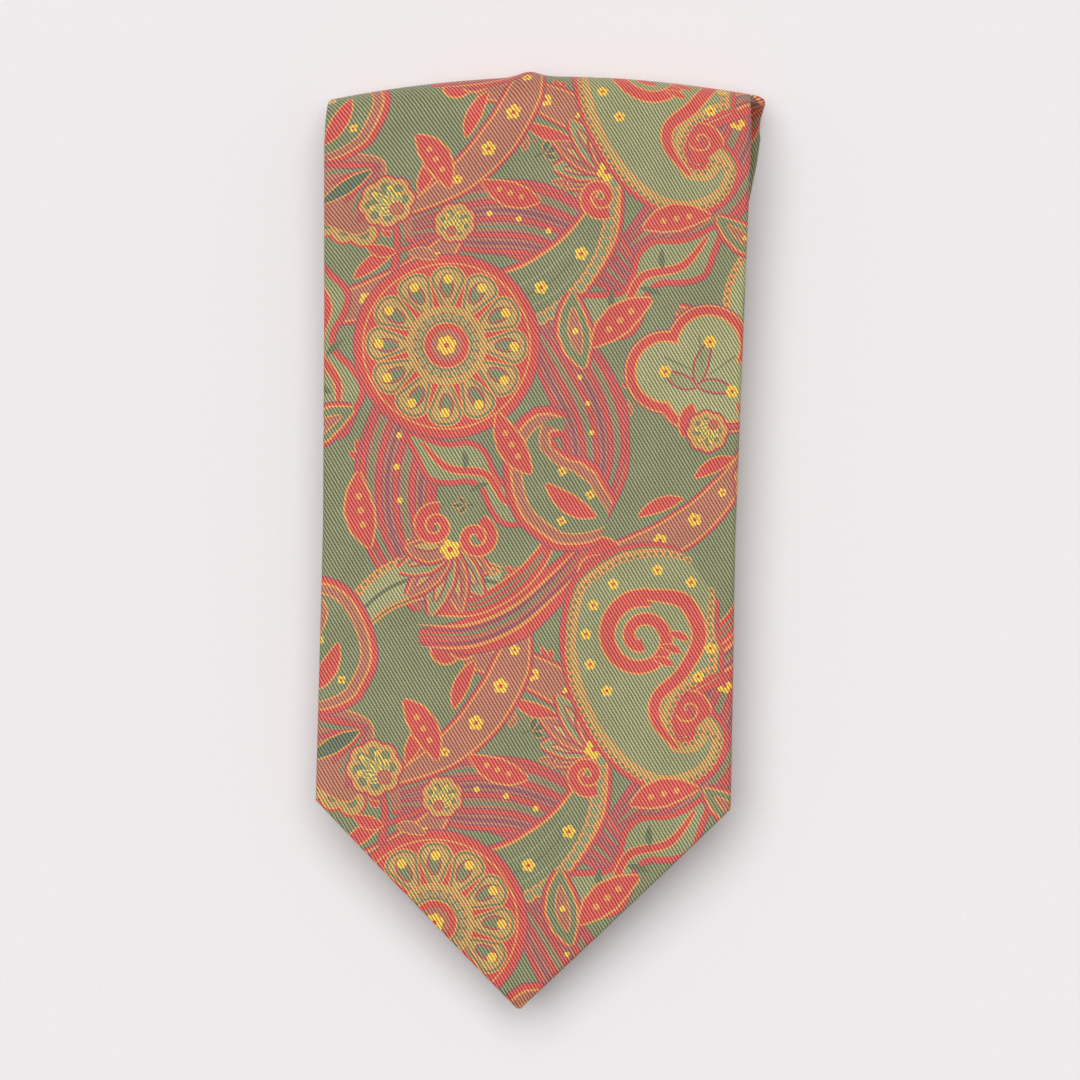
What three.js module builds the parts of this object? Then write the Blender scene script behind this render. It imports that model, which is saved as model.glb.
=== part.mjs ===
// A silk necktie put away flat: it is rolled from its narrow tail, and the wide blade lies on top.
// Millimetres. +X is to the wearer's left of the blade, +Y runs from the blade's point to the top
// fold, and +Z comes out of the printed front. The origin is the bottom centre of the folded tie.
//
// The tie is one long strip, followed by a distance s from the blade's point. Every layer is a
// section (across the strip, out of its front) that is carried along the folded path.

import * as THREE from 'three';

// ---- driving dimensions ----------------------------------------------------------------------

// Plies of one layer, from the printed front to the back.
const SILK = 0.2;
const INTERLINING = 0.7;
const TIPPING = 0.2;
const PLY_GAP = 0.1;
const LAYER_THICKNESS = 3 * SILK + INTERLINING + TIPPING + 4 * PLY_GAP;
const HALF = LAYER_THICKNESS / 2;

// How the layers lie on each other.
const LAYER_GAP = 0.25;
const LAYER_PITCH = LAYER_THICKNESS + LAYER_GAP;
const KEEPER_ROOM = 1.4;
const TAIL_TACK_ROOM = 0.4;

// The folded outline, seen from the front.
const LENGTH_OVER_FOLDS = 216;
const POINT_Y = -LENGTH_OVER_FOLDS / 2;
const CREST_Y = LENGTH_OVER_FOLDS / 2;
const BOTTOM_FOLDS_Y = -59.5;
const BLADE_X = -2.2;
const RETURN_X = 3;
const DROOP_ANGLE = THREE.MathUtils.degToRad(10);
const DROOP_RADIUS = 300;

// Heights of the layers' middles, from the lowest up. The odd layers run towards the top fold.
const Z2 = HALF;
const Z4 = Z2 + LAYER_PITCH;
const Z6 = Z4 + LAYER_PITCH;
const Z8 = Z6 + LAYER_PITCH;
const Z7 = Z8 + LAYER_PITCH + TAIL_TACK_ROOM;
const Z5 = Z7 + LAYER_PITCH;
const Z3 = Z5 + LAYER_PITCH;
const Z1 = Z3 + LAYER_PITCH + KEEPER_ROOM;

// Places along the strip, as distances from the blade's point.
const BLADE_CORNERS = 47.5;
const BLADE_FLAPS_MEET = 118;
const JOIN_BLADE_NECK = 690;
const JOIN_NECK_TAIL = 1010;
const TAIL_POINT_LENGTH = 27;
const TAIL_FLAPS_OPEN = 88;

// Widths of the finished tie, as [distance from the blade's point, width].
const BLUNT_POINT = 4;
const WIDTHS = [
  [0, BLUNT_POINT],
  [BLADE_CORNERS, 95],
  [110, 94.4],
  [205, 97.6],
  [240, 95.6],
  [395, 70],
  [580, 56],
  [760, 42],
  [860, 38],
  [1000, 38],
  [1150, 42],
  [1300, 50],
];
const TAIL_WIDTH = 54;

// Turned-in silk.
const HEM = 12;
const FLAP_OVERLAP = 8;

// Small parts on the blade's back.
const KEEPER = { from: 150, length: 16, width: 62, band: 0.5, foot: 5, slack: 0.45 };
const BRAND_LABEL = { from: 174, length: 20, width: 58, thickness: 0.25 };
const CARE_LABEL = { from: 128, length: 14, width: 24, x: 16, thickness: 0.2 };
const SURFACE_GAP = 0.12;
const BAR_TACK = { length: 1.8, width: 8, thickness: 0.45 };
const THREAD = 0.24;
const JOIN_GAP = 0.6;
const BIAS_MARGIN = 3;

// How finely the sweeps are cut.
const STRAIGHT_STEP = 27;
const TURN_STEP = THREE.MathUtils.degToRad(22.5);
const SIDE_STEPS = 3;

// ---- materials -------------------------------------------------------------------------------

const cloth = (color, roughness) => new THREE.MeshStandardMaterial({ color, roughness, metalness: 0 });
const printedSilk = cloth(0xb5564a, 0.5);
const wool = cloth(0xe8e2d2, 0.95);
const lining = cloth(0x3f5443, 0.45);
const labelSatin = cloth(0xe6dcc4, 0.5);
const redThread = cloth(0xa8322c, 0.7);

// ---- the folded path -------------------------------------------------------------------------

// A chain of straight runs and turns in the Y-Z plane. Its heading is measured from +Y towards +Z,
// so the printed front always faces the left-hand side of the way it runs.
class FoldedPath {
  constructor() {
    this.pieces = [];
    this.end = { y: 0, z: 0, heading: 0 };
    this.length = 0;
  }

  add(length, turn) {
    const piece = { from: this.length, length, turn, ...this.end };
    this.pieces.push(piece);
    this.length += length;
    this.end = this.pointOn(piece, length);
    return this;
  }

  straight(length) {
    return this.add(length, 0);
  }

  turn(angle, radius) {
    return this.add(Math.abs(angle) * radius, angle);
  }

  pointOn(piece, along) {
    const { y, z, heading, length, turn } = piece;
    if (turn === 0) {
      return { y: y + along * Math.cos(heading), z: z + along * Math.sin(heading), heading };
    }
    const bend = turn / length;
    const now = heading + bend * along;
    return {
      y: y + (Math.sin(now) - Math.sin(heading)) / bend,
      z: z - (Math.cos(now) - Math.cos(heading)) / bend,
      heading: now,
    };
  }

  at(s) {
    const piece = this.pieces.findLast((p) => p.from <= s) ?? this.pieces[0];
    return this.pointOn(piece, s - piece.from);
  }

  // Distances from start to finish that follow every turn closely and every run loosely, and that
  // include the given knots, where the strip's outline changes direction.
  stations(start, finish, knots) {
    const marks = [start, finish, ...knots];
    for (const { from, length, turn } of this.pieces) {
      const steps = Math.max(Math.ceil(Math.abs(turn) / TURN_STEP), Math.ceil(length / STRAIGHT_STEP));
      for (let i = 0; i <= steps; i += 1) marks.push(from + (length * i) / steps);
    }
    const inside = marks.filter((s) => s >= start && s <= finish).sort((a, b) => a - b);
    return inside.filter((s, i) => i === 0 || s - inside[i - 1] > 1e-3);
  }
}

const half = (a, b) => (a - b) / 2;
const OVERHANG = DROOP_RADIUS * Math.sin(DROOP_ANGLE);
const CREST_RADIUS = half(Z1, Z2);
const TOP_FOLDS_Y = CREST_Y - HALF - CREST_RADIUS;
const RUN = TOP_FOLDS_Y - BOTTOM_FOLDS_Y;

const path = new FoldedPath();
const pointY = POINT_Y + HALF * Math.sin(DROOP_ANGLE);
path.end = { y: pointY, z: Z1 - DROOP_RADIUS * (1 - Math.cos(DROOP_ANGLE)), heading: DROOP_ANGLE };
path.turn(-DROOP_ANGLE, DROOP_RADIUS).straight(TOP_FOLDS_Y - pointY - OVERHANG);
const CREST_START = path.length;
path.turn(-Math.PI, CREST_RADIUS);
const CREST_END = path.length;
const innerFolds = [half(Z3, Z2), half(Z3, Z4), half(Z5, Z4), half(Z5, Z6), half(Z7, Z6), half(Z7, Z8)];
for (const radius of innerFolds) path.straight(RUN).turn(-Math.PI, radius);
path.straight(RUN);

const LENGTH = path.length;
const TAIL_CORNERS = LENGTH - TAIL_POINT_LENGTH;
const TAIL_FLAPS_MEET = LENGTH - TAIL_FLAPS_OPEN;
const widths = [...WIDTHS, [TAIL_CORNERS, TAIL_WIDTH], [LENGTH, BLUNT_POINT]];

// ---- the strip's shape along its length ------------------------------------------------------

// Straight-line interpolation through [distance, value] pairs.
function along(table, s) {
  const next = table.findIndex(([distance]) => distance >= s);
  if (next === 0) return table[0][1];
  if (next === -1) return table.at(-1)[1];
  const [s0, v0] = table[next - 1];
  const [s1, v1] = table[next];
  return v0 + ((v1 - v0) * (s - s0)) / (s1 - s0);
}

const halfWidth = (s) => along(widths, s) / 2;
const outlineKnots = [...widths.map(([distance]) => distance), BLADE_FLAPS_MEET, TAIL_FLAPS_MEET];

// The blade's return layer lies a little askew, so its corner shows beside the top fold.
const DRIFT = [
  [CREST_START, BLADE_X],
  [CREST_END, RETURN_X],
  [CREST_END + RUN, BLADE_X],
];
const middleX = (s) => along(DRIFT, s);

// How far a back flap reaches past the middle line; it is negative where the flap is only a hem.
function flapReach(s) {
  const w = halfWidth(s);
  const hem = Math.min(HEM, 0.6 * w) - w;
  const bladeHem = HEM - halfWidth(BLADE_CORNERS);
  const tailHem = HEM - halfWidth(TAIL_CORNERS);
  if (s < BLADE_CORNERS || s > TAIL_CORNERS) return hem;
  return along(
    [
      [BLADE_CORNERS, bladeHem],
      [BLADE_FLAPS_MEET, FLAP_OVERLAP / 2],
      [TAIL_FLAPS_MEET, FLAP_OVERLAP / 2],
      [TAIL_CORNERS, tailHem],
    ],
    s,
  );
}

// Where each ply lies, as [inner face, outer face] measured out of the layer's middle.
const FRONT_PLY = [HALF - SILK, HALF];
const WOOL_PLY = [FRONT_PLY[0] - PLY_GAP - INTERLINING, FRONT_PLY[0] - PLY_GAP];
const TIPPING_PLY = [WOOL_PLY[0] - PLY_GAP - TIPPING, WOOL_PLY[0] - PLY_GAP];
const INNER_FLAP = [TIPPING_PLY[0] - PLY_GAP - SILK, TIPPING_PLY[0] - PLY_GAP];
const OUTER_FLAP = [INNER_FLAP[0] - PLY_GAP - SILK, INNER_FLAP[0] - PLY_GAP];

// A point of the strip: s along it, u across it and n out of its printed front.
function place(s, u, n) {
  const { y, z, heading } = path.at(s);
  return new THREE.Vector3(middleX(s) + u, y - n * Math.sin(heading), z + n * Math.cos(heading));
}

// The same on a cut that crosses the strip at 45 degrees at s and narrows with it; ds is along it.
function placeOnBias(s, ds, u, n) {
  return place(s + u + ds, (u * halfWidth(s + u)) / halfWidth(s), n);
}

// ---- sections, counter-clockwise -------------------------------------------------------------

// The rounded side of the shell, from the front ply round to a back flap.
function sideArc(side, edge, flapFace, frontFace) {
  const radius = half(frontFace, flapFace);
  const points = [];
  for (let i = 0; i <= SIDE_STEPS; i += 1) {
    const angle = Math.PI / 2 - (Math.PI * i) / SIDE_STEPS;
    points.push([side * (edge - radius + radius * Math.cos(angle)), flapFace + radius + radius * Math.sin(angle)]);
  }
  return points;
}

// The silk shell: a front ply, both turned sides, and two back flaps on different levels.
function shellSection(s) {
  const w = halfWidth(s);
  const reach = flapReach(s);
  const rightOutside = sideArc(1, w, OUTER_FLAP[0], FRONT_PLY[1]);
  const rightInside = sideArc(1, w - SILK, OUTER_FLAP[1], FRONT_PLY[0]);
  const leftOutside = sideArc(-1, w, INNER_FLAP[0], FRONT_PLY[1]);
  const leftInside = sideArc(-1, w - SILK, INNER_FLAP[1], FRONT_PLY[0]);
  return [
    ...leftOutside,
    [reach, INNER_FLAP[0]],
    [reach, INNER_FLAP[1]],
    ...leftInside.reverse(),
    ...rightInside,
    [-reach, OUTER_FLAP[1]],
    [-reach, OUTER_FLAP[0]],
    ...rightOutside.reverse(),
  ];
}

const rectangle = ([left, right], [low, high]) => [
  [left, low],
  [right, low],
  [right, high],
  [left, high],
];

const SIDE_CLEARANCE = 1.1;
const interliningSection = (s) => {
  const w = halfWidth(s) - SIDE_CLEARANCE;
  return rectangle([-w, w], WOOL_PLY);
};
const tippingSection = (s) => {
  const w = halfWidth(s) - SIDE_CLEARANCE;
  return rectangle([-w, w], TIPPING_PLY);
};

// The seam's thread lies along the free edge of the outer flap.
function seamThreadSection(s) {
  const edge = -flapReach(s) - PLY_GAP;
  return rectangle([edge - THREAD, edge], [OUTER_FLAP[1] - THREAD, OUTER_FLAP[1]]);
}

// ---- solids ----------------------------------------------------------------------------------

// A closed mesh from rings of equal length; cap holds the same outline flat, for its two ends.
function loft(rings, cap) {
  const count = cap.length;
  const ends = THREE.ShapeUtils.triangulateShape(cap.map(([x, y]) => new THREE.Vector2(x, y)), []);
  const last = (rings.length - 1) * count;
  const index = [];
  for (let ring = 0; ring < rings.length - 1; ring += 1) {
    for (let i = 0; i < count; i += 1) {
      const a = ring * count + i;
      const b = ring * count + ((i + 1) % count);
      index.push(a, b, b + count, a, b + count, a + count);
    }
  }
  for (const [a, b, c] of ends) index.push(c, b, a, last + a, last + b, last + c);
  const geometry = new THREE.BufferGeometry().setFromPoints(rings.flat());
  geometry.setIndex(index);
  if (signedVolume(geometry) < 0) geometry.setIndex(index.reverse());
  geometry.computeVertexNormals();
  return geometry;
}

function signedVolume(geometry) {
  const { position } = geometry.attributes;
  const corner = (i) => new THREE.Vector3().fromBufferAttribute(position, geometry.index.getX(i));
  let sum = 0;
  for (let i = 0; i < geometry.index.count; i += 3) {
    sum += corner(i).dot(corner(i + 1).cross(corner(i + 2))) / 6;
  }
  return sum;
}

// Carries a section along the strip. A bias end is cut at 45 degrees across it.
function alongStrip(section, start, finish, { biasStart = false, biasEnd = false } = {}) {
  const first = start + (biasStart ? halfWidth(start) + BIAS_MARGIN : 0);
  const last = finish - (biasEnd ? halfWidth(finish) + BIAS_MARGIN : 0);
  const stations = path.stations(first, last, outlineKnots);
  const rings = stations.map((s) => section(s).map(([u, n]) => place(s, u, n)));
  const biasRing = (s) => section(s).map(([u, n]) => placeOnBias(s, 0, u, n));
  if (biasStart) rings.unshift(biasRing(start));
  if (biasEnd) rings.push(biasRing(finish));
  return loft(rings, section(start));
}

// Carries an upright rectangle along a route of [s, u] points that lies on the back of a layer.
function alongRoute(route, face, width, thickness) {
  const rings = route.map(([s, u], i) => {
    const before = route[Math.max(i - 1, 0)];
    const after = route[Math.min(i + 1, route.length - 1)];
    const way = new THREE.Vector2(after[0] - before[0], after[1] - before[1]).normalize();
    const sideways = [(-way.y * width) / 2, (way.x * width) / 2];
    return [
      place(s + sideways[0], u + sideways[1], face),
      place(s - sideways[0], u - sideways[1], face),
      place(s - sideways[0], u - sideways[1], face - thickness),
      place(s + sideways[0], u + sideways[1], face - thickness),
    ];
  });
  return loft(rings, rectangle([0, width], [0, thickness]));
}

const necktie = new THREE.Group();

function addPiece(name, material, geometry) {
  const mesh = new THREE.Mesh(geometry, material);
  mesh.name = name;
  necktie.add(mesh);
}

// ---- silk shell ------------------------------------------------------------------------------

const REST = 0.3;
const shell = (start, finish, ends) => alongStrip(shellSection, start, finish, ends);

addPiece('blade_shell', printedSilk, shell(0, CREST_START - REST / 2));
addPiece('crest_shell', printedSilk, shell(CREST_START + REST / 2, CREST_END - REST / 2));
const bladeEnd = JOIN_BLADE_NECK - JOIN_GAP / 2;
addPiece('return_shell', printedSilk, shell(CREST_END + REST / 2, bladeEnd, { biasEnd: true }));
const neckEnds = [JOIN_BLADE_NECK + JOIN_GAP / 2, JOIN_NECK_TAIL - JOIN_GAP / 2];
addPiece('neck_shell', printedSilk, shell(...neckEnds, { biasStart: true, biasEnd: true }));
addPiece('tail_shell', printedSilk, shell(JOIN_NECK_TAIL + JOIN_GAP / 2, LENGTH, { biasStart: true }));

// ---- interlining and tipping -----------------------------------------------------------------

const POINT_INSET = 2.5;
const BLADE_TIPPING_END = 146;
const TAIL_TIPPING_LENGTH = 100;
const wooly = (start, finish) => alongStrip(interliningSection, start, finish);
const lined = (start, finish) => alongStrip(tippingSection, start, finish);

addPiece('blade_interlining', wool, wooly(POINT_INSET, CREST_START - REST / 2));
addPiece('crest_interlining', wool, wooly(CREST_START + REST / 2, CREST_END - REST / 2));
addPiece('packet_interlining', wool, wooly(CREST_END + REST / 2, LENGTH - POINT_INSET));
addPiece('blade_tipping', lining, lined(POINT_INSET, BLADE_TIPPING_END));
addPiece('tail_tipping', lining, lined(LENGTH - TAIL_TIPPING_LENGTH, LENGTH - POINT_INSET));

// ---- seam threads and bar tacks --------------------------------------------------------------

const seam = (start, finish) => alongStrip(seamThreadSection, start, finish);
addPiece('blade_seam_thread', redThread, seam(BLADE_FLAPS_MEET, CREST_START - REST / 2));
addPiece('crest_seam_thread', redThread, seam(CREST_START + REST / 2, CREST_END - REST / 2));
addPiece('packet_seam_thread', redThread, seam(CREST_END + REST / 2, TAIL_FLAPS_MEET));

const BACK = -HALF - SURFACE_GAP;

function barTack(s) {
  const route = [
    [s, -BAR_TACK.width / 2],
    [s, BAR_TACK.width / 2],
  ];
  return alongRoute(route, BACK, BAR_TACK.length, BAR_TACK.thickness);
}
addPiece('blade_bar_tack', redThread, barTack(BLADE_FLAPS_MEET + BAR_TACK.length));
addPiece('tail_bar_tack', redThread, barTack(TAIL_FLAPS_MEET - BAR_TACK.length));

// The seam's spare thread is left as a loop below the blade's bar tack, so that the seam can slide.
const SPARE_LOOP = { length: 22, width: 7, steps: 10 };
function spareLoop() {
  const start = BLADE_FLAPS_MEET - 1;
  const route = [];
  for (let i = 0; i <= SPARE_LOOP.steps; i += 1) {
    const angle = (Math.PI * (2 * i)) / SPARE_LOOP.steps;
    const bulge = Math.sin(angle / 2);
    route.push([start - SPARE_LOOP.length * bulge, -Math.cos(angle / 2) * (SPARE_LOOP.width / 2) * (0.3 + bulge)]);
  }
  return alongRoute(route, BACK, THREAD, THREAD);
}
addPiece('spare_thread_loop', redThread, spareLoop());

// One thread holds each bias join of the shell, inside the join's gap.
function joinThread(s) {
  const w = halfWidth(s) - SIDE_CLEARANCE;
  const middle = (FRONT_PLY[0] + FRONT_PLY[1]) / 2;
  const corners = [
    [-THREAD / 2, -SILK / 2],
    [THREAD / 2, -SILK / 2],
    [THREAD / 2, SILK / 2],
    [-THREAD / 2, SILK / 2],
  ];
  const rings = [-w, w].map((u) => corners.map(([ds, dn]) => placeOnBias(s, ds, u, middle + dn)));
  return loft(rings, corners);
}
addPiece('blade_neck_join_thread', redThread, joinThread(JOIN_BLADE_NECK));
addPiece('neck_tail_join_thread', redThread, joinThread(JOIN_NECK_TAIL));

// ---- keeper loop and labels ------------------------------------------------------------------

// The keeper is a flat band whose two feet are sewn to the blade's back; the tail slides under it.
function keeperLoop() {
  const { from, length, width, band, foot, slack } = KEEPER;
  const w = width / 2;
  const raised = BACK - slack - band;
  const outline = [
    [-w, BACK],
    [-w, BACK - band],
    [-w + foot, BACK - band],
    [-w + 2 * foot, raised],
    [w - 2 * foot, raised],
    [w - foot, BACK - band],
    [w, BACK - band],
    [w, BACK],
    [w - foot, BACK],
    [w - 2 * foot, raised + band],
    [-w + 2 * foot, raised + band],
    [-w + foot, BACK],
  ];
  const rings = [from, from + length].map((s) => outline.map(([u, n]) => place(s, u, n)));
  return loft(rings, outline);
}
addPiece('keeper_loop', printedSilk, keeperLoop());

function label({ from, length, width, thickness, x = 0 }) {
  const outline = rectangle([x - width / 2, x + width / 2], [BACK - thickness, BACK]);
  const rings = [from, from + length].map((s) => outline.map(([u, n]) => place(s, u, n)));
  return loft(rings, outline);
}
addPiece('brand_label', labelSatin, label(BRAND_LABEL));
addPiece('care_label', labelSatin, label(CARE_LABEL));

// A row of hand stitches holds each short end of the keeper loop and of the brand label.
const STITCHES = { count: 5, reach: 0.6 };
function stitchRow(u, { from, length }, face) {
  const route = [];
  for (let i = 0; i <= 2 * STITCHES.count; i += 1) {
    const side = i % 2 === 0 ? -1 : 1;
    const inset = THREAD * 2;
    route.push([from + inset + ((length - 2 * inset) * i) / (2 * STITCHES.count), u + (side * STITCHES.reach) / 2]);
  }
  return alongRoute(route, face - SURFACE_GAP, THREAD, THREAD);
}
const EDGE_INSET = 1.5;
for (const [side, sign] of [['left', -1], ['right', 1]]) {
  const keeperFoot = sign * (KEEPER.width / 2 - EDGE_INSET);
  addPiece(`keeper_stitches_${side}`, redThread, stitchRow(keeperFoot, KEEPER, BACK - KEEPER.band));
  const labelEnd = sign * (BRAND_LABEL.width / 2 - EDGE_INSET);
  addPiece(`label_stitches_${side}`, redThread, stitchRow(labelEnd, BRAND_LABEL, BACK - BRAND_LABEL.thickness));
}

export default necktie;
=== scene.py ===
"""A printed silk necktie put away flat: the blade lies on top of the rolled strip.

The cloth is cut flat, printed flat and then folded. Each silk piece is a flat outline with the print laid
out on it in millimetres, triangulated along the edges of the printed shapes, and carried onto the folded
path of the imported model. Flat places are (across, along): across from the strip's middle line, and along
from the blade's point. On the blade the print's own (x, y) are the row frame's millimetres.
"""

import math
import random

import bpy
import numpy as np
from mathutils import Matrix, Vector
from mathutils.geometry import delaunay_2d_cdt


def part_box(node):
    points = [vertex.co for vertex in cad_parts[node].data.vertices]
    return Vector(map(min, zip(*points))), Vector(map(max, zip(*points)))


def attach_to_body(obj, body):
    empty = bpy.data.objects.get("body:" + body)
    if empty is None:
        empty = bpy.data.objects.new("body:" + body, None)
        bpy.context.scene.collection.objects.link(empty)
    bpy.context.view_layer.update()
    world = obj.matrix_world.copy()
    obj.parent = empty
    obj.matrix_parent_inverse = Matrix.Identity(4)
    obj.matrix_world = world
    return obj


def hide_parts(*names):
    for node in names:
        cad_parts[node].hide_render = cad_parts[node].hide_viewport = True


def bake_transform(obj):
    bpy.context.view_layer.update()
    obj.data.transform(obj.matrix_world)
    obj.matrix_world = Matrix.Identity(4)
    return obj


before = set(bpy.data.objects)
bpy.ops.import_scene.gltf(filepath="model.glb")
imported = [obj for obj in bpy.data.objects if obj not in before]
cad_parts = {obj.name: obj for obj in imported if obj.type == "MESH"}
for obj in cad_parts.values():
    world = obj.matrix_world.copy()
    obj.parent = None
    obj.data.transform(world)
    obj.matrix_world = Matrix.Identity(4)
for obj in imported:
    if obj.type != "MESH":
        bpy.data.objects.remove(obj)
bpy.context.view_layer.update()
MM = 0.001
scene = bpy.context.scene
rng = random.Random(7)


# ---- sizes, in millimetres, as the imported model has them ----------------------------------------

def box_mm(node):
    low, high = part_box(node)
    return low / MM, high / MM


SILK = 0.2
HALF = 0.95
LAYER_PITCH = 2.15
KEEPER_ROOM = 1.4
TAIL_TACK_ROOM = 0.4
BOTTOM_FOLDS_Y = -59.5
BLADE_X = -2.2
RETURN_X = 1.4
RETURN_SLANT = 45.0
DROOP_ANGLE = math.radians(10)
DROOP_RADIUS = 300.0
CREST_Y = box_mm("crest_shell")[1].y
POINT_Y = box_mm("blade_shell")[0].y

Z2 = HALF
Z4 = Z2 + LAYER_PITCH
Z6 = Z4 + LAYER_PITCH
Z8 = Z6 + LAYER_PITCH
Z7 = Z8 + LAYER_PITCH + TAIL_TACK_ROOM
Z5 = Z7 + LAYER_PITCH
Z3 = Z5 + LAYER_PITCH
Z1 = Z3 + LAYER_PITCH + KEEPER_ROOM

BLADE_CORNERS = 47.5
BLADE_FLAPS_MEET = 118.0
TAIL_POINT_LENGTH = 27.0
TAIL_FLAPS_OPEN = 88.0
JOIN_BLADE_NECK = 690.0
JOIN_NECK_TAIL = 1010.0
JOIN_GAP = 0.6
HEM = 12.0
FLAP_OVERLAP = 8.0
TAIL_WIDTH = 54.0
BLUNT_POINT = 0.3
WIDTHS = [
    (0, BLUNT_POINT), (BLADE_CORNERS, 95), (110, 94.4), (205, 97.6), (240, 95.6), (395, 70),
    (580, 56), (760, 42), (860, 38), (1000, 38), (1150, 42), (1300, 50),
]


# ---- the folded path --------------------------------------------------------------------------

class FoldedPath:
    """A chain of straight runs and turns in the Y-Z plane, followed by the distance along it."""

    def __init__(self, y, z, heading):
        self.pieces, self.length, self.end = [], 0.0, (y, z, heading)

    def add(self, length, turn):
        self.pieces.append((self.length, length, turn, *self.end))
        self.length += length
        self.end = tuple(float(v[0]) for v in self.at(np.array([self.length])))

    def straight(self, length):
        self.add(length, 0.0)

    def turn(self, angle, radius):
        self.add(abs(angle) * radius, angle)

    def at(self, s):
        y, z, heading = np.zeros_like(s), np.zeros_like(s), np.zeros_like(s)
        for start, length, turn, y0, z0, h0 in self.pieces:
            here = s >= start - 1e-9 if start else np.ones(len(s), bool)
            along = s[here] - start
            if turn == 0:
                h = np.full(len(along), h0)
                y[here], z[here] = y0 + along * math.cos(h0), z0 + along * math.sin(h0)
            else:
                bend = turn / length
                h = h0 + bend * along
                y[here] = y0 + (np.sin(h) - math.sin(h0)) / bend
                z[here] = z0 - (np.cos(h) - math.cos(h0)) / bend
            heading[here] = h
        return y, z, heading


CREST_RADIUS = (Z1 - Z2) / 2
TOP_FOLDS_Y = CREST_Y - HALF - CREST_RADIUS
RUN = TOP_FOLDS_Y - BOTTOM_FOLDS_Y
START_Y = POINT_Y + HALF * math.sin(DROOP_ANGLE)
path = FoldedPath(START_Y, Z1 - DROOP_RADIUS * (1 - math.cos(DROOP_ANGLE)), DROOP_ANGLE)
path.turn(-DROOP_ANGLE, DROOP_RADIUS)
path.straight(TOP_FOLDS_Y - START_Y - DROOP_RADIUS * math.sin(DROOP_ANGLE))
CREST_START = path.length
FRONT_Y_AT_ZERO = TOP_FOLDS_Y - CREST_START
path.turn(-math.pi, CREST_RADIUS)
CREST_END = path.length
for high, low in ((Z3, Z2), (Z3, Z4), (Z5, Z4), (Z5, Z6), (Z7, Z6), (Z7, Z8)):
    path.straight(RUN)
    path.turn(-math.pi, (high - low) / 2)
path.straight(RUN)
LENGTH = path.length
TAIL_CORNERS = LENGTH - TAIL_POINT_LENGTH
TAIL_FLAPS_MEET = LENGTH - TAIL_FLAPS_OPEN
widths = np.array(WIDTHS + [(TAIL_CORNERS, TAIL_WIDTH), (LENGTH, BLUNT_POINT)])
CREST_MIDDLE = (CREST_START + CREST_END) / 2
drift = np.array([(CREST_MIDDLE, BLADE_X), (CREST_END, RETURN_X), (CREST_END + RETURN_SLANT, BLADE_X)])


def half_width(s):
    return np.interp(s, widths[:, 0], widths[:, 1]) / 2


def flap_reach(s):
    """How far a back flap reaches past the middle line; negative where it is only a hem."""
    if s < BLADE_CORNERS or s > TAIL_CORNERS:
        return min(HEM, 0.6 * half_width(s)) - half_width(s)
    blade_hem, tail_hem = (HEM - half_width(c) for c in (BLADE_CORNERS, TAIL_CORNERS))
    knots = [BLADE_CORNERS, BLADE_FLAPS_MEET, TAIL_FLAPS_MEET, TAIL_CORNERS]
    return np.interp(s, knots, [blade_hem, FLAP_OVERLAP / 2, FLAP_OVERLAP / 2, tail_hem])


def smoothstep(low, high, v):
    t = np.clip((v - low) / (high - low), 0, 1)
    return t * t * (3 - 2 * t)


# The crest of the top fold is arched and has a small bump, as the photo shows.
ARCH_MIDDLE, ARCH_DROP, ARCH_FROM = 6.8, 0.00202, 45.0
BUMP_X, BUMP_WIDTH, BUMP_HEIGHT = -4.5, 3.2, 1.2
BUMP_FROM, BUMP_FULL = 88.0, 106.0


def crest_shift(x, y):
    arch = -ARCH_DROP * (x - ARCH_MIDDLE) ** 2
    bump = BUMP_HEIGHT * (np.exp(-(((x - BUMP_X) / BUMP_WIDTH) ** 2)) - 1)
    return arch * smoothstep(ARCH_FROM, TOP_FOLDS_Y, y) + bump * smoothstep(BUMP_FROM, BUMP_FULL, y)


# The top fold is a little askew, so its right corner stands out past the blade.
FLARE, FLARE_FROM, FLARE_FULL = 3.6, 34.0, 48.0
FLARE_BEFORE, FLARE_AFTER = 3.5, 1.5
# The blade's sides have nothing under them and sag a little.
SAG, SAG_FROM, SAG_END, SAG_GONE = 0.0034, 29.0, 165.0, 8.0


def place(s, u, n):
    """Row-frame millimetres of strip points: s along, u across, n out of the printed front."""
    y, z, heading = path.at(s)
    askew = smoothstep(CREST_MIDDLE - FLARE_BEFORE, CREST_MIDDLE + FLARE_AFTER, s)
    askew = askew * (1 - smoothstep(CREST_MIDDLE, CREST_END, s))
    x = np.interp(s, drift[:, 0], drift[:, 1]) + u + FLARE * askew * smoothstep(FLARE_FROM, FLARE_FULL, u)
    free = np.maximum(np.abs(u) - SAG_FROM, 0)
    n = n - SAG * free**2 * (1 - smoothstep(SAG_END, CREST_START - SAG_GONE, s))
    y, z = y - n * np.sin(heading), z + n * np.cos(heading)
    return np.stack([x, y + crest_shift(x, y), z], axis=1)


# ---- the camera -------------------------------------------------------------------------------

VIEW_DISTANCE = 1100.0
FRAME_WIDTH = 246.6
LEAN = math.radians(1.26)
VIEW_CENTRE = (0.3, 0.0, Z1 + HALF)
SENSOR = 36.0


def make_camera():
    data = bpy.data.cameras.new("camera")
    data.sensor_width = SENSOR
    data.lens = SENSOR * VIEW_DISTANCE / FRAME_WIDTH
    camera = bpy.data.objects.new("camera", data)
    camera.location = Vector(VIEW_CENTRE) * MM + Vector((0, 0, VIEW_DISTANCE * MM))
    camera.rotation_euler = (0, 0, LEAN)
    scene.collection.objects.link(camera)
    scene.camera = camera


make_camera()


# ---- drawing the print ------------------------------------------------------------------------

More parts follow.
